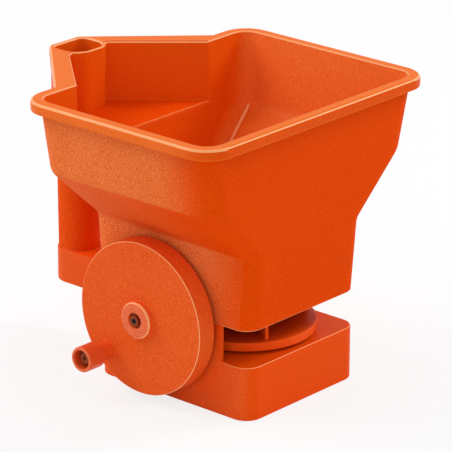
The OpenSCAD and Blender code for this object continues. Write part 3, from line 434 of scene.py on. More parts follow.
def moulded(name, colour, pale, rough, shine, grain, depth, speck, side=None):
    """Moulded plastic with an eroded grain of a size and depth in mm, pale on its tops as painted glints of light
    on the grain, and faint flow clouding.
    A second pair of colours, with its speck amount, is painted light: paler colours paint sheen, darker ones paint
    shade. It shows where its vertex attribute is 1 and fades in along Y."""
    finish, tap, inputs = new_finish(name, IOR=1.49, Specular_IOR_Level=shine)
    place = tap.add("ShaderNodeTexCoord", out="Object")
    pits = noise(place, 1 / (grain * MM), 1.5, 0.6)
    cloud = noise(place, 26.0, 3.0, 0.55)
    scuff = noise(place, 160.0, 4.0, 0.65)
    tops = tap.add("ShaderNodeValToRGB", {"stops": [(0.36, (0, 0, 0, 1)), (0.66, (1, 1, 1, 1))]}, {"Fac": pits})
    tone = (tops * speck + (cloud - 0.5) * 0.3).mix((*colour, 1.0), (*pale, 1.0))
    # Painted light: the second pair of colours paints sheen on lit faces and shade in shaded ones, where the
    # vertex attribute says so.
    if side:
        painted_colour, painted_pale, painted_speck, fade = side
        painted_tone = (tops * painted_speck + (cloud - 0.5) * 0.4).mix((*painted_colour, 1.0), (*painted_pale, 1.0))
        along = tap.add("ShaderNodeSeparateXYZ", {}, {0: place}, out="Y")
        faded = tap.add("ShaderNodeMapRange", {"interpolation_type": "SMOOTHSTEP"},
                        {"Value": along, "From Min": fade[0] * MM, "From Max": fade[1] * MM})
        side_on = tap.add("ShaderNodeAttribute", {"attribute_name": "side_on"}, out="Fac")
        tone = (side_on * faded).mix(tone, painted_tone)
    feed(tone, inputs["Base Color"])
    feed(rough + (scuff - 0.5) * 0.12 + (pits - 0.5) * 0.1, inputs["Roughness"])
    bump = tap.add("ShaderNodeBump", {}, {"Strength": 1.0, "Distance": depth * MM, "Height": pits})
    feed(bump, inputs["Normal"])
    return finish


# The second colours of the hopper's finishes are a painted sheen: paler and yellower, with strong pale specks as
# glints, on faces that the key light from the crank side falls on.
grained_orange = moulded("grained_orange", (0.7, 0.05, 0.0), (0.92, 0.088, 0.001), 0.6, 0.02, 0.58, 0.06, 0.9,
                         ((0.7, 0.085, 0.005), (0.98, 0.28, 0.085), 1.0, (-74.0, -22.0)))
smooth_orange = moulded("smooth_orange", (0.82, 0.108, 0.002), (0.88, 0.13, 0.006), 0.42, 0.06, 1.6, 0.012, 0.4,
                        ((0.86, 0.16, 0.022), (0.95, 0.24, 0.055), 0.6, (-90.0, -88.0)))
rim_orange = moulded("rim_orange", (0.76, 0.078, 0.0), (0.84, 0.1, 0.002), 0.26, 0.05, 1.8, 0.008, 0.4,
                     ((0.82, 0.14, 0.014), (0.92, 0.19, 0.035), 0.5, (-90.0, -40.0)))
# A pale orange that paints the highlights on rounded edges.
painted_highlight_orange = moulded("painted_highlight_orange", (0.95, 0.36, 0.14), (1.0, 0.46, 0.2), 0.4, 0.1, 1.6, 0.01, 0.5)
# A paler orange that paints the sheen on flat rim tops and the glint along the lip's bottom edge.
painted_sheen_orange = moulded("painted_sheen_orange", (0.8, 0.14, 0.004), (0.92, 0.2, 0.025), 0.34, 0.03, 0.7, 0.02, 0.6)


def mark_painted_light(piece, weight):
    """Stores on each vertex how much of the second colours, the painted light, shows there; weight takes a place
    and a normal.
    """
    mesh = piece.data
    shown = mesh.attributes.new("side_on", "FLOAT", "POINT")
    for i, vertex in enumerate(mesh.vertices):
        shown.data[i].value = weight(vertex.co / MM, vertex.normal)


def eased(value, low, high):
    """Goes smoothly from 0 at low to 1 at high."""
    share = min(max((value - low) / (high - low), 0.0), 1.0)
    return share * share * (3 - 2 * share)


def dress(piece, *finishes):
    """Gives a finished mesh its materials, and shades it smooth between edges sharper than 32 degrees."""
    mesh = piece.data
    mesh.materials.clear()
    for finish in finishes:
        mesh.materials.append(finish)
    mesh.shade_smooth()
    mesh.set_sharp_from_angle(angle=math.radians(32.0))
    even = piece.modifiers.new("even", "WEIGHTED_NORMAL")
    even.keep_sharp, even.weight = True, 60
    settle(piece)


def on_bead(p):
    """Whether a point lies on one of the two beads in the funnel's rear corners."""
    foot, head, here = Vector(bead_foot), Vector(bead_head), Vector((abs(p.x), p.y, p.z))
    off = (here - foot).cross((head - foot).normalized()).length
    return off < bead_radius + 0.05 and foot.z - 1 < p.z < head.z + 1


grained_face, smooth_face, rim_face, highlight_face, sheen_face = range(5)


def hopper_zone(centre, normal):
    """Finish of a face of the hopper, by its height and the way it faces."""
    x, y, z = centre / MM
    outward = normal.x * x + normal.y * y > 0
    broad = abs(normal.x) * 0.2 if outward else 0.2
    # Painted highlight on the rim's rounded top-outer edge.
    if z > rim_top - lip_round and 0.5 - broad < normal.z < 0.88 + broad / 2:
        return highlight_face
    # Painted sheen on the rim's and the pocket lip's flat tops and along the lip's bottom edge.
    if z > rim_top - 1 and normal.z > 0.88:
        return sheen_face
    if lip_foot - 0.2 < z < lip_foot + 0.8 and outward and -0.8 < normal.z < -0.1:
        return sheen_face
    if normal.z > 0.9 and abs(z - pocket_floor) < 1 and y > back_inside - 2:
        return grained_face
    # Painted highlight along the foot's bottom edge.
    if z < hopper_foot[0] + 0.55 and -0.9 < normal.z < -0.2:
        return highlight_face
    if z > lip_foot - 0.2:
        inner = abs(x) < 101.6 and -76 < y < back_inside + 0.3
        return smooth_face if inner and z < rim_top - 1.6 else rim_face
    on_grip = y > (pocket_apex + 1 if z > pocket_floor - wall - 1 else 100)
    away = normal.x * x + normal.y * (y - (grip_y if on_grip else 0))
    return grained_face if away > 0 else smooth_face


dress(hopper, grained_orange, smooth_orange, rim_orange, painted_highlight_orange, painted_sheen_orange)
# The beads in the funnel's rear corners get the painted highlight too.
for face in hopper.data.polygons:
    beaded = all(on_bead(hopper.data.vertices[i].co / MM) for i in face.vertices)
    face.material_index = highlight_face if beaded else hopper_zone(face.center, face.normal)


def hopper_painted_sheen(place, normal):
    """Painted sheen: full on the upright side walls that the key light falls on, fading down the funnel, towards
    the front corners and on the grip.
    """
    shown = eased(abs(normal.x), 0.3, 0.98)
    if abs(normal.x) < 0.9 and place.z < hopper_bend[0]:
        shown *= eased(place.y, -62, 10)
    return shown * (0.1 if place.y > 100 else 1.0)


mark_painted_light(hopper, hopper_painted_sheen)
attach(hopper, "housing")
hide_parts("hopper")

# Crank disc: a wide cup in the same plastic with a raised hub, a shoulder and a peg for the knob. A ring of
# 64 teeth stands inside its rim. It turns on the fixed axle and is held by the hub screw.
disc_front, disc_back = -72.9, -58.5
disc_radius, tooth_root, tooth_tip, tooth_count = 52.0, 49.5, 46.8, 64
hub_front, hub_seat, hub_radius, hub_recess = disc_front - 5.0, -74.5, 12.5, 5.2
axle_bore, bearing_radius, bearing_end = 4.05, 9.0, disc_back - 1.0
knob_at = (37.036, 28.970)
peg_end, peg_radius, shoulder_end = -92.1, 4.3, -84.7


def edge(corner, into_a, into_b, size, steps=4):
    """Quarter curve at a profile's corner, from the side into_a to the side into_b."""
    out = []
    for a in quarter_turn(steps):
        u, v = 1 - math.sin(a), 1 - math.cos(a)
        out.append((corner[0] + size * (into_a[0] * u + into_b[0] * v),
                    corner[1] + size * (into_a[1] * u + into_b[1] * v)))
    return out


disc_profile = [(hub_seat, axle_bore), (hub_seat, hub_recess)]
disc_profile += edge((hub_front, hub_recess), (1, 0), (0, 1), 0.8)
disc_profile += edge((hub_front, hub_radius), (0, -1), (1, 0), 2.0, 6)
disc_profile += edge((disc_front, hub_radius), (-1, 0), (0, 1), 0.8)
disc_profile += edge((disc_front, disc_radius), (0, -1), (1, 0), 0.9)
disc_profile += edge((disc_back, disc_radius), (-1, 0), (0, -1), 0.7)
disc_profile += edge((disc_back, tooth_root), (0, 1), (-1, 0), 0.4)
disc_profile += [(disc_front + 3.0, tooth_root), (disc_front + 3.0, bearing_radius)]
disc_profile += edge((bearing_end, bearing_radius), (-1, 0), (0, -1), 0.6) + [(bearing_end, axle_bore)]
disc = turned("crank_disc_moulding", disc_profile, crank, "X", 160)
shoulder_profile = [(peg_end + 11, screw_hole), (peg_end, screw_hole), (peg_end, 4.0),
                    (peg_end + 0.3, peg_radius), (shoulder_end, peg_radius)]
shoulder_profile += edge((shoulder_end, 6.2), (0, -1), (1, 0), 0.5)
shoulder_profile += [(-75.5, 6.25)] + edge((disc_front, 6.25), (-1, 0), (0, 1), 0.6)
shoulder_profile += [(disc_front + 1.5, 6.85), (disc_front + 1.5, screw_hole)]
join(disc, turned("shoulder", shoulder_profile, knob_at, "X", 48))


def new_tree(name, inputs):
    """Geometry Nodes tree with named inputs (name, kind, start value) and a mesh as its result."""
    tree = bpy.data.node_groups.new(name, "GeometryNodeTree")
    for label, kind, start in inputs:
        item = tree.interface.new_socket(label, in_out="INPUT", socket_type="NodeSocket" + kind)
        if start is not None:
            item.default_value = start
    tree.interface.new_socket("Mesh", in_out="OUTPUT", socket_type="NodeSocketGeometry")
    return tree


def wire(tree, kind, settings=None, sockets=None):
    """Adds a Geometry Nodes node; a socket takes a value or another node's output."""
    node = tree.nodes.new(kind)
    for key, value in (settings or {}).items():
        setattr(node, key, value)
    for key, value in (sockets or {}).items():
        if isinstance(value, bpy.types.NodeSocket):
            tree.links.new(value, node.inputs[key])
        else:
            node.inputs[key].default_value = value
    return node


def close_tree(tree, shape, finish):
    """Ends a tree: makes copies real and sets their finish."""
    real = wire(tree, "GeometryNodeRealizeInstances", {}, {"Geometry": shape.outputs[0]})
    painted = wire(tree, "GeometryNodeSetMaterial", {}, {"Geometry": real.outputs[0], "Material": finish})
    wire(tree, "NodeGroupOutput", {}, {0: painted.outputs[0]})


teeth = new_tree("teeth_round_an_axis", (("Tooth", "Object", None), ("Count", "Int", tooth_count),
                                         ("First", "Float", 0.0), ("Centre", "Vector", (0.0, 0.0, 0.0)),
                                         ("Turn", "Vector", (0.0, 0.0, 0.0)), ("Finish", "Material", None)))
given = wire(teeth, "NodeGroupInput").outputs
ring_points = wire(teeth, "GeometryNodePoints", {}, {"Count": given["Count"]})
index = wire(teeth, "GeometryNodeInputIndex")
step_angle = wire(teeth, "ShaderNodeMath", {"operation": "DIVIDE"}, {0: 2 * math.pi, 1: given["Count"]})
angle = wire(teeth, "ShaderNodeMath", {"operation": "MULTIPLY_ADD"},
             {0: index.outputs[0], 1: step_angle.outputs[0], 2: given["First"]})
spin = wire(teeth, "ShaderNodeCombineXYZ", {}, {"Z": angle.outputs[0]})
shape = wire(teeth, "GeometryNodeObjectInfo", {}, {"Object": given["Tooth"]})
placed = wire(teeth, "GeometryNodeInstanceOnPoints", {},
              {"Points": ring_points.outputs[0], "Instance": shape.outputs["Geometry"],
               "Rotation": spin.outputs[0]})
laid = wire(teeth, "GeometryNodeTransform", {},
            {"Geometry": placed.outputs[0], "Translation": given["Centre"], "Rotation": given["Turn"]})
close_tree(teeth, laid, given["Finish"])


def grown(name, tree, values):
    """Plain mesh object made by a Geometry Nodes tree from named values."""
    holder = put(name, bpy.data.meshes.new(name))
    grow = holder.modifiers.new("grow", "NODES")
    grow.node_group = tree
    for item in tree.interface.items_tree:
        if item.in_out == "INPUT":
            grow[item.identifier] = values[item.name]
    settle(holder)
    return holder


def ring_of(name, tooth, count, first, centre, turn, finish):
    """Copies of one tooth or vane round an axis; the tooth lies out along X."""
    made = grown(name, teeth, {"Tooth": tooth, "Count": count, "First": first, "Turn": turn,
                               "Centre": [c * MM for c in centre], "Finish": finish})
    bpy.data.objects.remove(tooth)
    return made


def add_mesh(piece, other):
    """Puts another object's mesh into a piece without cutting, and removes that object."""
    mesh = bmesh.new()
    mesh.from_mesh(piece.data)
    mesh.from_mesh(other.data)
    mesh.to_mesh(piece.data)
    mesh.free()
    bpy.data.objects.remove(other)


disc_orange = moulded("disc_orange", (0.75, 0.075, 0.003), (0.94, 0.165, 0.034), 0.5, 0.06, 0.62, 0.05, 0.8)
# A pale salmon that paints the sheen on the hub's front and the knob's end.
painted_sheen_salmon = moulded("painted_sheen_salmon", (0.78, 0.12, 0.035), (0.94, 0.23, 0.1), 0.4, 0.1, 0.8, 0.03, 0.8)
tooth_plan = [(tooth_root + 0.4, -1.55), (tooth_root + 0.4, 1.55), (48.0, 1.05), (tooth_tip + 0.2, 0.7),
              (tooth_tip, 0.5), (tooth_tip, -0.5), (tooth_tip + 0.2, -0.7), (48.0, -1.05)]
tooth_low, tooth_high = disc_front + 2.6, disc_back - 0.1
tooth = solid("tooth", [[(u, v, w) for u, v in tooth_plan] for w in (tooth_low, tooth_high)])
gear_centres, shaft_ahead = 42.0, crank[0] - shaft_y
mesh_angle = math.atan2(-math.sqrt(gear_centres ** 2 - shaft_ahead ** 2), -shaft_ahead)
first_tooth = mesh_angle + math.pi / tooth_count
ring_turn = Matrix(((0, 0, 1), (1, 0, 0), (0, 1, 0))).to_euler()
add_mesh(disc, ring_of("ring", tooth, tooth_count, first_tooth, (0, *crank), ring_turn, disc_orange))
dress(disc, disc_orange, painted_sheen_salmon, painted_highlight_orange)
# Painted highlight on the rounded front edges of the rim and the hub.
for face in disc.data.polygons:
    x, y, z = face.center / MM
    off = math.hypot(y - crank[0], z - crank[1])
    at_edge = off > disc_radius - 1 or 9 < off < hub_radius + 0.1
    highlighted = at_edge and 0.3 < -face.normal.x < 0.92 and x < disc_front + 1
    # Painted sheen on the hub's front face.
    face.material_index = 2 if highlighted else 1 if x < hub_front + 0.3 and 5 < off < 13 else 0
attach(disc, "crank")
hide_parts("crank_disc")

# Knob: a short sleeve in the same plastic with a rounded, hollow end. It turns on the disc's peg, and a
# washer and a screw at the bottom of its hollow keep it there.
knob_end, knob_root, knob_seat = -99.1, -85.1, -91.7
knob_radius, knob_bore, knob_hollow = 8.65, 4.35, 6.45
knob_profile = edge((knob_root, knob_radius), (-1, 0), (0, -1), 0.8)
knob_profile += [(knob_root, knob_bore), (knob_seat, knob_bore), (knob_seat, knob_hollow)]
knob_profile += edge((knob_end, knob_hollow), (1, 0), (0, 1), 0.9)
knob_profile += edge((knob_end, knob_radius), (0, -1), (1, 0), 1.2)
knob = turned("knob_moulding", knob_profile, knob_at, "X", 72)
knob_orange = moulded("knob_orange", (0.76, 0.09, 0.016), (0.86, 0.125, 0.03), 0.34, 0.2, 1.4, 0.01, 0.5)
dress(knob, knob_orange, painted_sheen_salmon)
# Painted sheen on the knob's rounded end.
for face in knob.data.polygons:
    face.material_index = 1 if face.center.x / MM < knob_end + 0.9 and face.normal.x < -0.3 else 0
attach(knob, "knob")
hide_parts("knob_sleeve")

# Base housing: a low open-bottomed box moulded with the deck, the tower that carries the hopper, the round
# wall behind the spinner and the arm under the grip. The tower is cut away in front for the discharge.
base_half, base_front, base_back, base_corner, base_wall = 55.2, -69.0, 64.0, 12.0, 2.6
deck, deck_thick, tower = 37.0, 2.5, 62.0
deck_mid, room_floor, room_top = deck - deck_thick / 2, deck - 1.3, 90
scroll_radius, spinner_room, scroll_front = 53.2, 50.6, -35.6
arm_half, arm_foot, arm_top = 15.0, 34.0, 58.0
cross_height, loose_hole = 25.33, screw_hole + 0.4
base_plan = oblong(base_half, base_front, base_back, base_corner)
base = slab("base_moulding", base_plan, quarter(0.0, 0.0, 0.8, "foot") + quarter(deck, 0.0, 1.2, "top"))
cut(base, slab("under", base_plan, [(-1, base_wall), (deck - deck_thick, base_wall)]))
tower_wall = slab("tower", base_plan, [(deck_mid, 0), (tower, 0)])
cut(tower_wall, slab("inside", base_plan, [(deck - 3, base_wall), (tower + 1, base_wall)]))
scroll = rod("scroll", (0, shaft_y, deck_mid), (0, shaft_y, tower), scroll_radius, 128)
cut(scroll, rod("spinner_room", (0, shaft_y, deck - 3), (0, shaft_y, tower + 1), spinner_room, 128))
combine(scroll, slab("keep", base_plan, [(deck - 2, base_wall / 2), (tower, base_wall / 2)]), "INTERSECT")
cut(scroll, slab("scroll_end", square(-100, 0, -150, scroll_front), [(0, 0), (room_top, 0)], 1))
join(tower_wall, scroll)
near_room = square(-100, 0, -150, scroll_front - 10)
cut(tower_wall, slab("near_room", near_room, [(room_floor, 0), (room_top, 0)], 1))
far_room = [(-150, room_floor, sharp), (-26, room_floor, 10.0), (-26, room_top, sharp), (-150, room_top, sharp)]
cut(tower_wall, bar("far_room", far_room, [(-1, 0), (100, 0)], 12))
join(base, tower_wall)
arm_plan = square(-arm_half, arm_half, base_back - base_wall, grip_y + arm_half, sharp, arm_half - sharp)
arm = slab("arm", arm_plan, quarter(arm_foot, 0.0, 0.8, "foot") + quarter(arm_top, 0.0, 1.0, "top"), 24)
arm_room = arm_half - base_wall
arm_void = square(-arm_room, arm_room, base_back, grip_y + arm_room, sharp, arm_room - sharp)
cut(arm, slab("arm_void", arm_void, [(30, 0), (arm_top - base_wall, 0)], 24))
join(base, arm)
for start, end, radius in (((-53.9, *crank), (-43.2, *crank), 7.5),
                           ((-53.9, shaft_y, cross_height), (-50, shaft_y, cross_height), 7.0),
                           ((0, shaft_y, 31.5), (0, shaft_y, deck_mid), 8.5),
                           ((0, grip_y, 47), (0, grip_y, 57), post_radius)):
    join(base, rod("boss", start, end, radius))
join(base, slab("rib", square(-24, -18, -34, -2), [(cross_height, 0), (deck_mid, 0)], 1))
for x, y in hopper_posts:
    join(base, rod("post", (x, y, deck_mid), (x, y, tower), post_radius))
    cut(base, rod("hole", (x, y, 33), (x, y, 64), loose_hole))
for x, y in ((45.0, -57.0), (-45.0, -57.0), (45.0, 20.0), (-45.0, 20.0), (0.0, 55.0)):
    join(base, rod("post", (x, y, 2.6), (x, y, deck_mid), post_radius))
    cut(base, rod("hole", (x, y, 1), (x, y, 14.6), screw_hole))
for start, end, radius in (((-57, *crank), (-42, *crank), 4.0),
                           ((-57, shaft_y, cross_height), (-47, shaft_y, cross_height), 4.5),
                           ((-26, shaft_y, cross_height), (-16, shaft_y, cross_height), 4.5),
                           ((0, shaft_y, 30), (0, shaft_y, 38), 6.0),
                           ((0, grip_y, 40), (0, grip_y, 60), loose_hole),
                           ((-21, -29, 20), (-21, -29, 32.3), screw_hole),
                           ((-21, -7, 20), (-21, -7, 32.3), screw_hole)):
    cut(base, rod("hole", start, end, radius))
base_orange = moulded("base_orange", (0.84, 0.075, 0.001), (0.9, 0.095, 0.004), 0.45, 0.05, 1.5, 0.012, 0.4,
                      ((0.8, 0.09, 0.01), (0.9, 0.135, 0.025), 0.6, (-90.0, -88.0)))
# A near-black orange that paints the shade on the walls round the spinner's room.
painted_shade_orange = moulded("painted_shade_orange", (0.07, 0.006, 0.0), (0.13, 0.012, 0.001), 0.6, 0.05, 1.5, 0.02, 0.6)
dress(base, base_orange, painted_shade_orange, painted_highlight_orange)
# Painted sheen: the base's faces along X show the paler second colours of its finish.
mark_painted_light(base, lambda place, normal: eased(abs(normal.x), 0.5, 1.0))
for face in base.data.polygons:
    x, y, z = face.center / MM
    off = math.hypot(x, y - shaft_y)
    towards_spinner = -(x * face.normal.x + (y - shaft_y) * face.normal.y) / off
    # Painted shade on the walls that face the spinner inside its room.
    in_painted_shade = off < 60 and deck + 0.5 < z < tower - 0.2 and towards_spinner > 0.5
    # Painted highlight on the deck's rounded top edge.
    highlighted = room_floor < z < deck + 0.1 and 0.6 < face.normal.z < 0.8
    face.material_index = 2 if highlighted else 1 if in_painted_shade else 0
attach(base, "housing")
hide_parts("base_housing")

# Spinner: a shallow disc with a turned-down rim and four upright vanes, moulded on one hub and pinned to
# its shaft. It turns in the room behind the discharge slot.
plate_under, plate_top, vane_top, vane_half = 42.8, 45.2, 55.7, 1.2
hub_foot, hub_top, rim_foot = 38.6, 53.2, 39.2
shaft_radius, stem_radius, rim_inside, rim_outside = 4.0, 9.0, 45.2, 47.6
spinner_profile = [(hub_foot, shaft_radius), (hub_foot, stem_radius), (plate_under, stem_radius),
                   (plate_under, rim_inside), (rim_foot, rim_inside)]
spinner_profile += edge((rim_foot, rim_outside), (0, -1), (1, 0), 0.5)
spinner_profile += edge((plate_top, rim_outside), (-1, 0), (0, -1), 0.8) + [(plate_top, stem_radius)]
spinner_profile += edge((hub_top, stem_radius), (-1, 0), (0, -1), 0.8) + [(hub_top, shaft_radius)]
spinner = turned("spinner_moulding", spinner_profile, (0, shaft_y), "Z", 128)
vane_plan = square(-vane_half, vane_half, 44.0, vane_top, sharp, vane_half - sharp)
vane = bar("vane", vane_plan, ((7.0, 0.0), (43.4, 0.0), (44.0, 0.5)), 5)
# The spinner's second colours are near black; they paint the shade of the room it turns in.
spinner_orange = moulded("spinner_orange", (0.88, 0.08, 0.002), (0.94, 0.1, 0.006), 0.4, 0.08, 1.6, 0.012, 0.4,
                         ((0.1, 0.01, 0.001), (0.18, 0.018, 0.002), 0.5, (-200.0, -190.0)))
add_mesh(spinner, ring_of("vanes", vane, 4, math.radians(60), (0, shaft_y, 0), (0, 0, 0), spinner_orange))
dress(spinner, spinner_orange)
# Painted shade: the dark second colours grow from the rim in towards the hub.
mark_painted_light(spinner, lambda place, normal: 1 - eased(math.hypot(place.x, place.y - shaft_y), 6, 44))
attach(spinner, "spinner_drive")
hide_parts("spinner")

# Agitator: a bar with two upright fingers, in the same plastic, screwed on top of the spinner's shaft. It keeps
# the material over the outlet moving.
bar_height = 82.4
agitator = rod("agitator_moulding", (0, shaft_y, 78.4), (0, shaft_y, 89.4), 7.5, soft=1.0)
join(agitator, rod("bar", (-23, shaft_y, bar_height), (23, shaft_y, bar_height), 3.0, soft=1.2))
for x in (-20, 20):
    join(agitator, rod("finger", (x, shaft_y, bar_height), (x, shaft_y, 91.4), 2.5, soft=1.2))
cut(agitator, rod("bore", (0, shaft_y, 77), (0, shaft_y, 87.4), shaft_radius))
cut(agitator, rod("hole", (0, shaft_y, 86), (0, shaft_y, 91), screw_hole))
dress(agitator, spinner_orange)
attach(agitator, "spinner_drive")
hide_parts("agitator")

# Finger lever: a flat bar in the same plastic, hollowed for the fingers and hung on a pin under the pocket. The
# slots in its forked foot take the pin of the pull rod.
lever_foot, lever_half, bar_half, bar_edge, eye_radius = 58.8, 8.0, 3.0, 1.2, 6.5
hollow_radius, hollow_depth, hollow_z = 60.0, 1.8, 102.4
fork_half, pin_room = 4.4, 2.05
lever_corners = [(lug_y - bar_half, lever_foot, 1.2), (lug_y + bar_half, lever_foot, 1.2)]
hollow_reach = math.sqrt(hollow_radius ** 2 - (hollow_radius - hollow_depth) ** 2)
for k in range(13):
    z = hollow_z + hollow_reach * (k / 6 - 1)
    y = lug_y + bar_half - hollow_depth + hollow_radius - math.sqrt(hollow_radius ** 2 - (z - hollow_z) ** 2)
    lever_corners.append((y, z, sharp))
eye_turn = math.acos(bar_half / eye_radius)
for k in range(25):
    a = -eye_turn + (math.pi + 2 * eye_turn) * k / 24
    lever_corners.append((lug_y + eye_radius * math.cos(a), lug_z + eye_radius * math.sin(a), sharp))
lever_places = [(x - lever_half, inset) for x, inset in quarter(0.0, 0.0, bar_edge, "foot", 4)]
lever_places += [(x + lever_half, inset) for x, inset in quarter(0.0, 0.0, bar_edge, "top", 4)]
lever = bar("lever_moulding", lever_corners, lever_places, 2)
fork = square(-fork_half, fork_half, lug_y - 9, lug_y + 9)
cut(lever, slab("fork", fork, [(lever_foot - 1, 0), (rod_height + 8.5, 0)], 1))
cut(lever, rod("eye", (-9, lug_y, lug_z), (9, lug_y, lug_z), pin_room))
slot_plan = square(lug_y - pin_room, lug_y + pin_room, rod_height - 5.34, rod_height + 2.55, 2.0)
cut(lever, bar("slot", slot_plan, [(-9, 0), (9, 0)]))
dress(lever, base_orange)
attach(lever, "lever")
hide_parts("finger_lever")

# Bought and turned pieces: steel shafts, pins and screws, brass bushes, dark moulded gears and seals. Their
# solids are right as they are, so they only get their finishes. The hub's screw is black in its middle and
# brown round it, a painted reflection of the orange hub; the knob's washer and screw are brown all over, a painted
# reflection of the orange hollow they sit in.
steel, tap, inputs = new_finish("turned_steel", Metallic=1.0)
place = tap.add("ShaderNodeTexCoord", out="Object")
lines, stain = noise(place, 2400.0, 2.0, 0.5), noise(place, 140.0, 3.0, 0.6)
feed(stain.mix((0.42, 0.42, 0.43, 1), (0.62, 0.62, 0.63, 1)), inputs["Base Color"])
feed(0.26 + lines * 0.12 + stain * 0.1, inputs["Roughness"])
brass, tap, inputs = new_finish("turned_brass", Metallic=1.0)
stain = noise(tap.add("ShaderNodeTexCoord", out="Object"), 180.0, 3.0, 0.6)
feed(stain.mix((0.38, 0.26, 0.09, 1), (0.58, 0.43, 0.18, 1)), inputs["Base Color"])
feed(0.28 + stain * 0.16, inputs["Roughness"])
black_steel, tap, inputs = new_finish("blackened_steel", Metallic=0.6)
place = tap.add("ShaderNodeTexCoord", out="Object")
mottle = noise(place, 700.0, 3.0, 0.6)
across = tap.add("ShaderNodeVectorMath", {"operation": "MULTIPLY"}, {0: place, 1: (0, 1, 1)})
off_axle = tap.add("ShaderNodeVectorMath", {"operation": "DISTANCE"},
                   {0: across, 1: (0, crank[0] * MM, crank[1] * MM)}, out="Value")
# Painted reflection: from 1.3 to 2.9 mm off the crank's axis the black turns brown, as if the steel mirrored the
# orange round it.
reflection_share = tap.add("ShaderNodeMapRange", {"interpolation_type": "SMOOTHSTEP"},
                  {"Value": off_axle, "From Min": 1.3 * MM, "From Max": 2.9 * MM})
black = mottle.mix((0.012, 0.009, 0.008, 1), (0.04, 0.03, 0.026, 1))
feed(reflection_share.mix(black, (0.3, 0.045, 0.008, 1)), inputs["Base Color"])
feed(0.4 + mottle * 0.2, inputs["Roughness"])
# Brown all over, a painted reflection of the orange hollow round the knob's washer and screw.
painted_reflection_steel, tap, inputs = new_finish("painted_reflection_steel", Metallic=0.5, Roughness=0.5)
mottle = noise(tap.add("ShaderNodeTexCoord", out="Object"), 700.0, 3.0, 0.6)
feed(mottle.mix((0.2, 0.03, 0.004, 1), (0.36, 0.07, 0.012, 1)), inputs["Base Color"])
dark_plastic = moulded("dark_plastic", (0.02, 0.02, 0.022), (0.05, 0.05, 0.053), 0.48, 0.5, 0.9, 0.02, 0.4)
slot_of = {row["node"]: row["material_slot"] for row in frame["record"]["subparts"]}
finish_of = {"steel": steel, "brass": brass, "black_steel": black_steel, "dark": dark_plastic,
             "fitting": base_orange, "shell": spinner_orange}
for label, node in frame["nodes"].items():
    node.data.materials.clear()
    node.data.materials.append(painted_reflection_steel if label.startswith("knob_") else finish_of[slot_of[label]])

# Return spring: a coil of round steel wire on the pull rod, between the gate's nut and the hopper's back wall.
# The real spring shortens as the gate is pulled open; this coil keeps one length and stays with the housing.
spring_back, spring_front, coil_turns, coil_radius, wire_radius = 58.85, 19.75, 9.0, 3.2, 0.45
coil_length = (spring_back - spring_front) * MM
coil = new_tree("coil_along_y", (("Turns", "Float", coil_turns), ("Coil Radius", "Float", coil_radius * MM),
                                 ("Wire Radius", "Float", wire_radius * MM), ("Length", "Float", coil_length),
                                 ("Start", "Vector", (0.0, 0.0, 0.0)), ("Finish", "Material", None)))
given = wire(coil, "NodeGroupInput").outputs
path = wire(coil, "GeometryNodeCurveSpiral", {},
            {"Resolution": 28, "Rotations": given["Turns"], "Start Radius": given["Coil Radius"],
             "End Radius": given["Coil Radius"], "Height": given["Length"], "Reverse": True})
section = wire(coil, "GeometryNodeCurvePrimitiveCircle", {}, {"Resolution": 10, "Radius": given["Wire Radius"]})
swept = wire(coil, "GeometryNodeCurveToMesh", {},
             {"Curve": path.outputs[0], "Profile Curve": section.outputs[0], "Fill Caps": True})
laid = wire(coil, "GeometryNodeTransform", {},
            {"Geometry": swept.outputs[0], "Translation": given["Start"], "Rotation": (-math.pi / 2, 0.0, 0.0)})
close_tree(coil, laid, given["Finish"])
spring = grown("spring_wire", coil, {"Turns": coil_turns, "Coil Radius": coil_radius * MM, "Finish": steel,
                                     "Wire Radius": wire_radius * MM, "Length": coil_length,
                                     "Start": [0.0, spring_front * MM, rod_height * MM]})
spring.data.shade_smooth()
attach(spring, "housing")
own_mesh(spring)
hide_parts("return_spring")

# Studio: a pale floor that runs out to white, a white surround, one soft light behind on the crank side, one
# in front on the other side and a weak one beside the camera. Two bright boards show only in shiny edges.
floor_reach = 6.0
floor_mesh = bpy.data.meshes.new("floor")
floor_mesh.from_pydata([(x * floor_reach, y * floor_reach, 0) for x, y in ((-1, -1), (1, -1), (1, 1), (-1, 1))],
                       [], [(0, 1, 2, 3)])
floor = put("floor", floor_mesh)


def seen_rays(tree):
    """1 where a ray comes from the camera, straight or by way of something shiny or clear."""
    rays = tree.nodes.new("ShaderNodeLightPath").outputs
    straight, shiny, clear = (Tap(tree, rays[f"Is {kind} Ray"]) for kind in ("Camera", "Glossy", "Transmission"))
    return straight + shiny + clear


floor_paint, tap, inputs = new_finish("floor_paint", Base_Color=(0.9, 0.9, 0.9, 1), Roughness=0.9,
                                      Specular_IOR_Level=0.1)
glow = tap.add("ShaderNodeEmission", {}, {"Color": (1, 1, 1, 1), "Strength": 1.0})
paint = Tap(tap.tree, tap.tree.nodes["Principled BSDF"].outputs[0])
place = tap.add("ShaderNodeTexCoord", out="Object")
away = tap.add("ShaderNodeVectorMath", {"operation": "LENGTH"}, {0: place}, out="Value")
edge_white = tap.add("ShaderNodeMapRange", {}, {"Value": away, "From Min": 0.5, "From Max": 2.5})
whitened = seen_rays(tap.tree) * (0.8 + edge_white * 0.2)
feed(tap.add("ShaderNodeMixShader", {}, {0: whitened, 1: paint, 2: glow}),
     tap.tree.nodes["Material Output"].inputs[0])
floor_mesh.materials.append(floor_paint)

surround = bpy.data.worlds.new("surround")
bpy.context.scene.world = surround
surround.use_nodes = True
sky = surround.node_tree.nodes["Background"].inputs
sky["Color"].default_value = (1, 1, 1, 1)
feed(0.63 + seen_rays(surround.node_tree) * 0.37, sky["Strength"])


def facing(place, aim):
    """Turn of a lamp or board that looks from a place at its aim."""
    return (Vector(aim) - Vector(place)).to_track_quat("-Z", "Y")


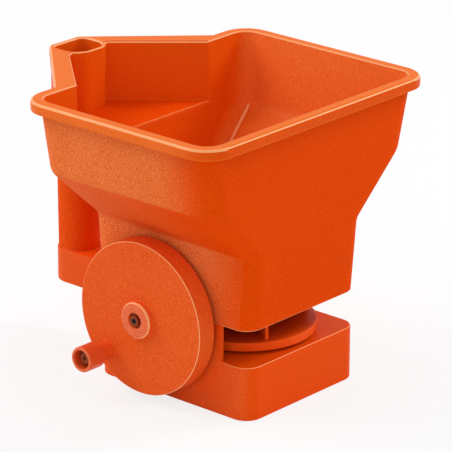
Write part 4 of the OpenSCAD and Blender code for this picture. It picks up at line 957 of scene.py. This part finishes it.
def soft_light(name, place, aim, size, power):
    lamp = bpy.data.lights.new(name, "AREA")
    lamp.shape, lamp.size, lamp.size_y, lamp.energy = "RECTANGLE", size, size, power
    holder = put(name, lamp)
    holder.location, holder.rotation_euler = place, facing(place, aim).to_euler()


soft_light("key", (-0.72, 1.12, 1.315), (0, 0, 0.1), 0.9, 12.0)
soft_light("far", (1.2, -0.6, 1.16), (0, 0, 0.1), 0.5, 9.5)
soft_light("fill", (-1.3, -1.6, 0.9), (0, 0, 0.05), 1.2, 4.0)


def card(name, place, aim, size, colour, strength):
    """Bright board that only shows as a highlight on shiny edges."""
    turn, half = facing(place, aim), size / 2
    corners = [Vector(place) + turn @ Vector((x * half, y * half, 0))
               for x, y in ((-1, -1), (1, -1), (1, 1), (-1, 1))]
    mesh = bpy.data.meshes.new(name)
    mesh.from_pydata(corners, [], [(0, 1, 2, 3)])
    mesh.materials.append(new_finish(name, Base_Color=(0, 0, 0, 1), Emission_Color=(*colour, 1),
                                     Emission_Strength=strength)[0])
    board = put(name, mesh)
    board.visible_camera = board.visible_diffuse = board.visible_transmission = board.visible_shadow = False


warm_white = (1.0, 0.82, 0.5)
card("back_card", (-0.76, 1.18, 1.38), (0, 0, 0.1), 0.9, warm_white, 10.0)
card("front_card", (1.28, -0.64, 1.23), (0, 0, 0.1), 0.7, warm_white, 14.0)

# Camera: a long lens that looks down over the crank side and the front, a little rolled, so that rim, disc
# and base fall where the photo has them.
camera = bpy.data.cameras.new("camera")
camera.sensor_width, camera.lens = 36.0, 269.64
camera.clip_start, camera.clip_end = 0.1, 50.0
eye = put("camera", camera)
azimuth, elevation, roll = (math.radians(degrees) for degrees in (-48.75, 20.37, 0.24))
looked_at, distance = Vector((0.00055, -0.00063, 0.10376)), 2.2206
back = Vector((math.sin(azimuth) * math.cos(elevation), -math.cos(azimuth) * math.cos(elevation),
               math.sin(elevation)))
right = Vector((math.cos(azimuth), math.sin(azimuth), 0))
up = back.cross(right)
level = Matrix((right * math.cos(roll) + up * math.sin(roll), up * math.cos(roll) - right * math.sin(roll), back))
eye.rotation_euler = level.transposed().to_euler()
eye.location = looked_at + back * distance
bpy.context.scene.camera = eye
bpy.context.scene.view_settings.view_transform = "Standard"
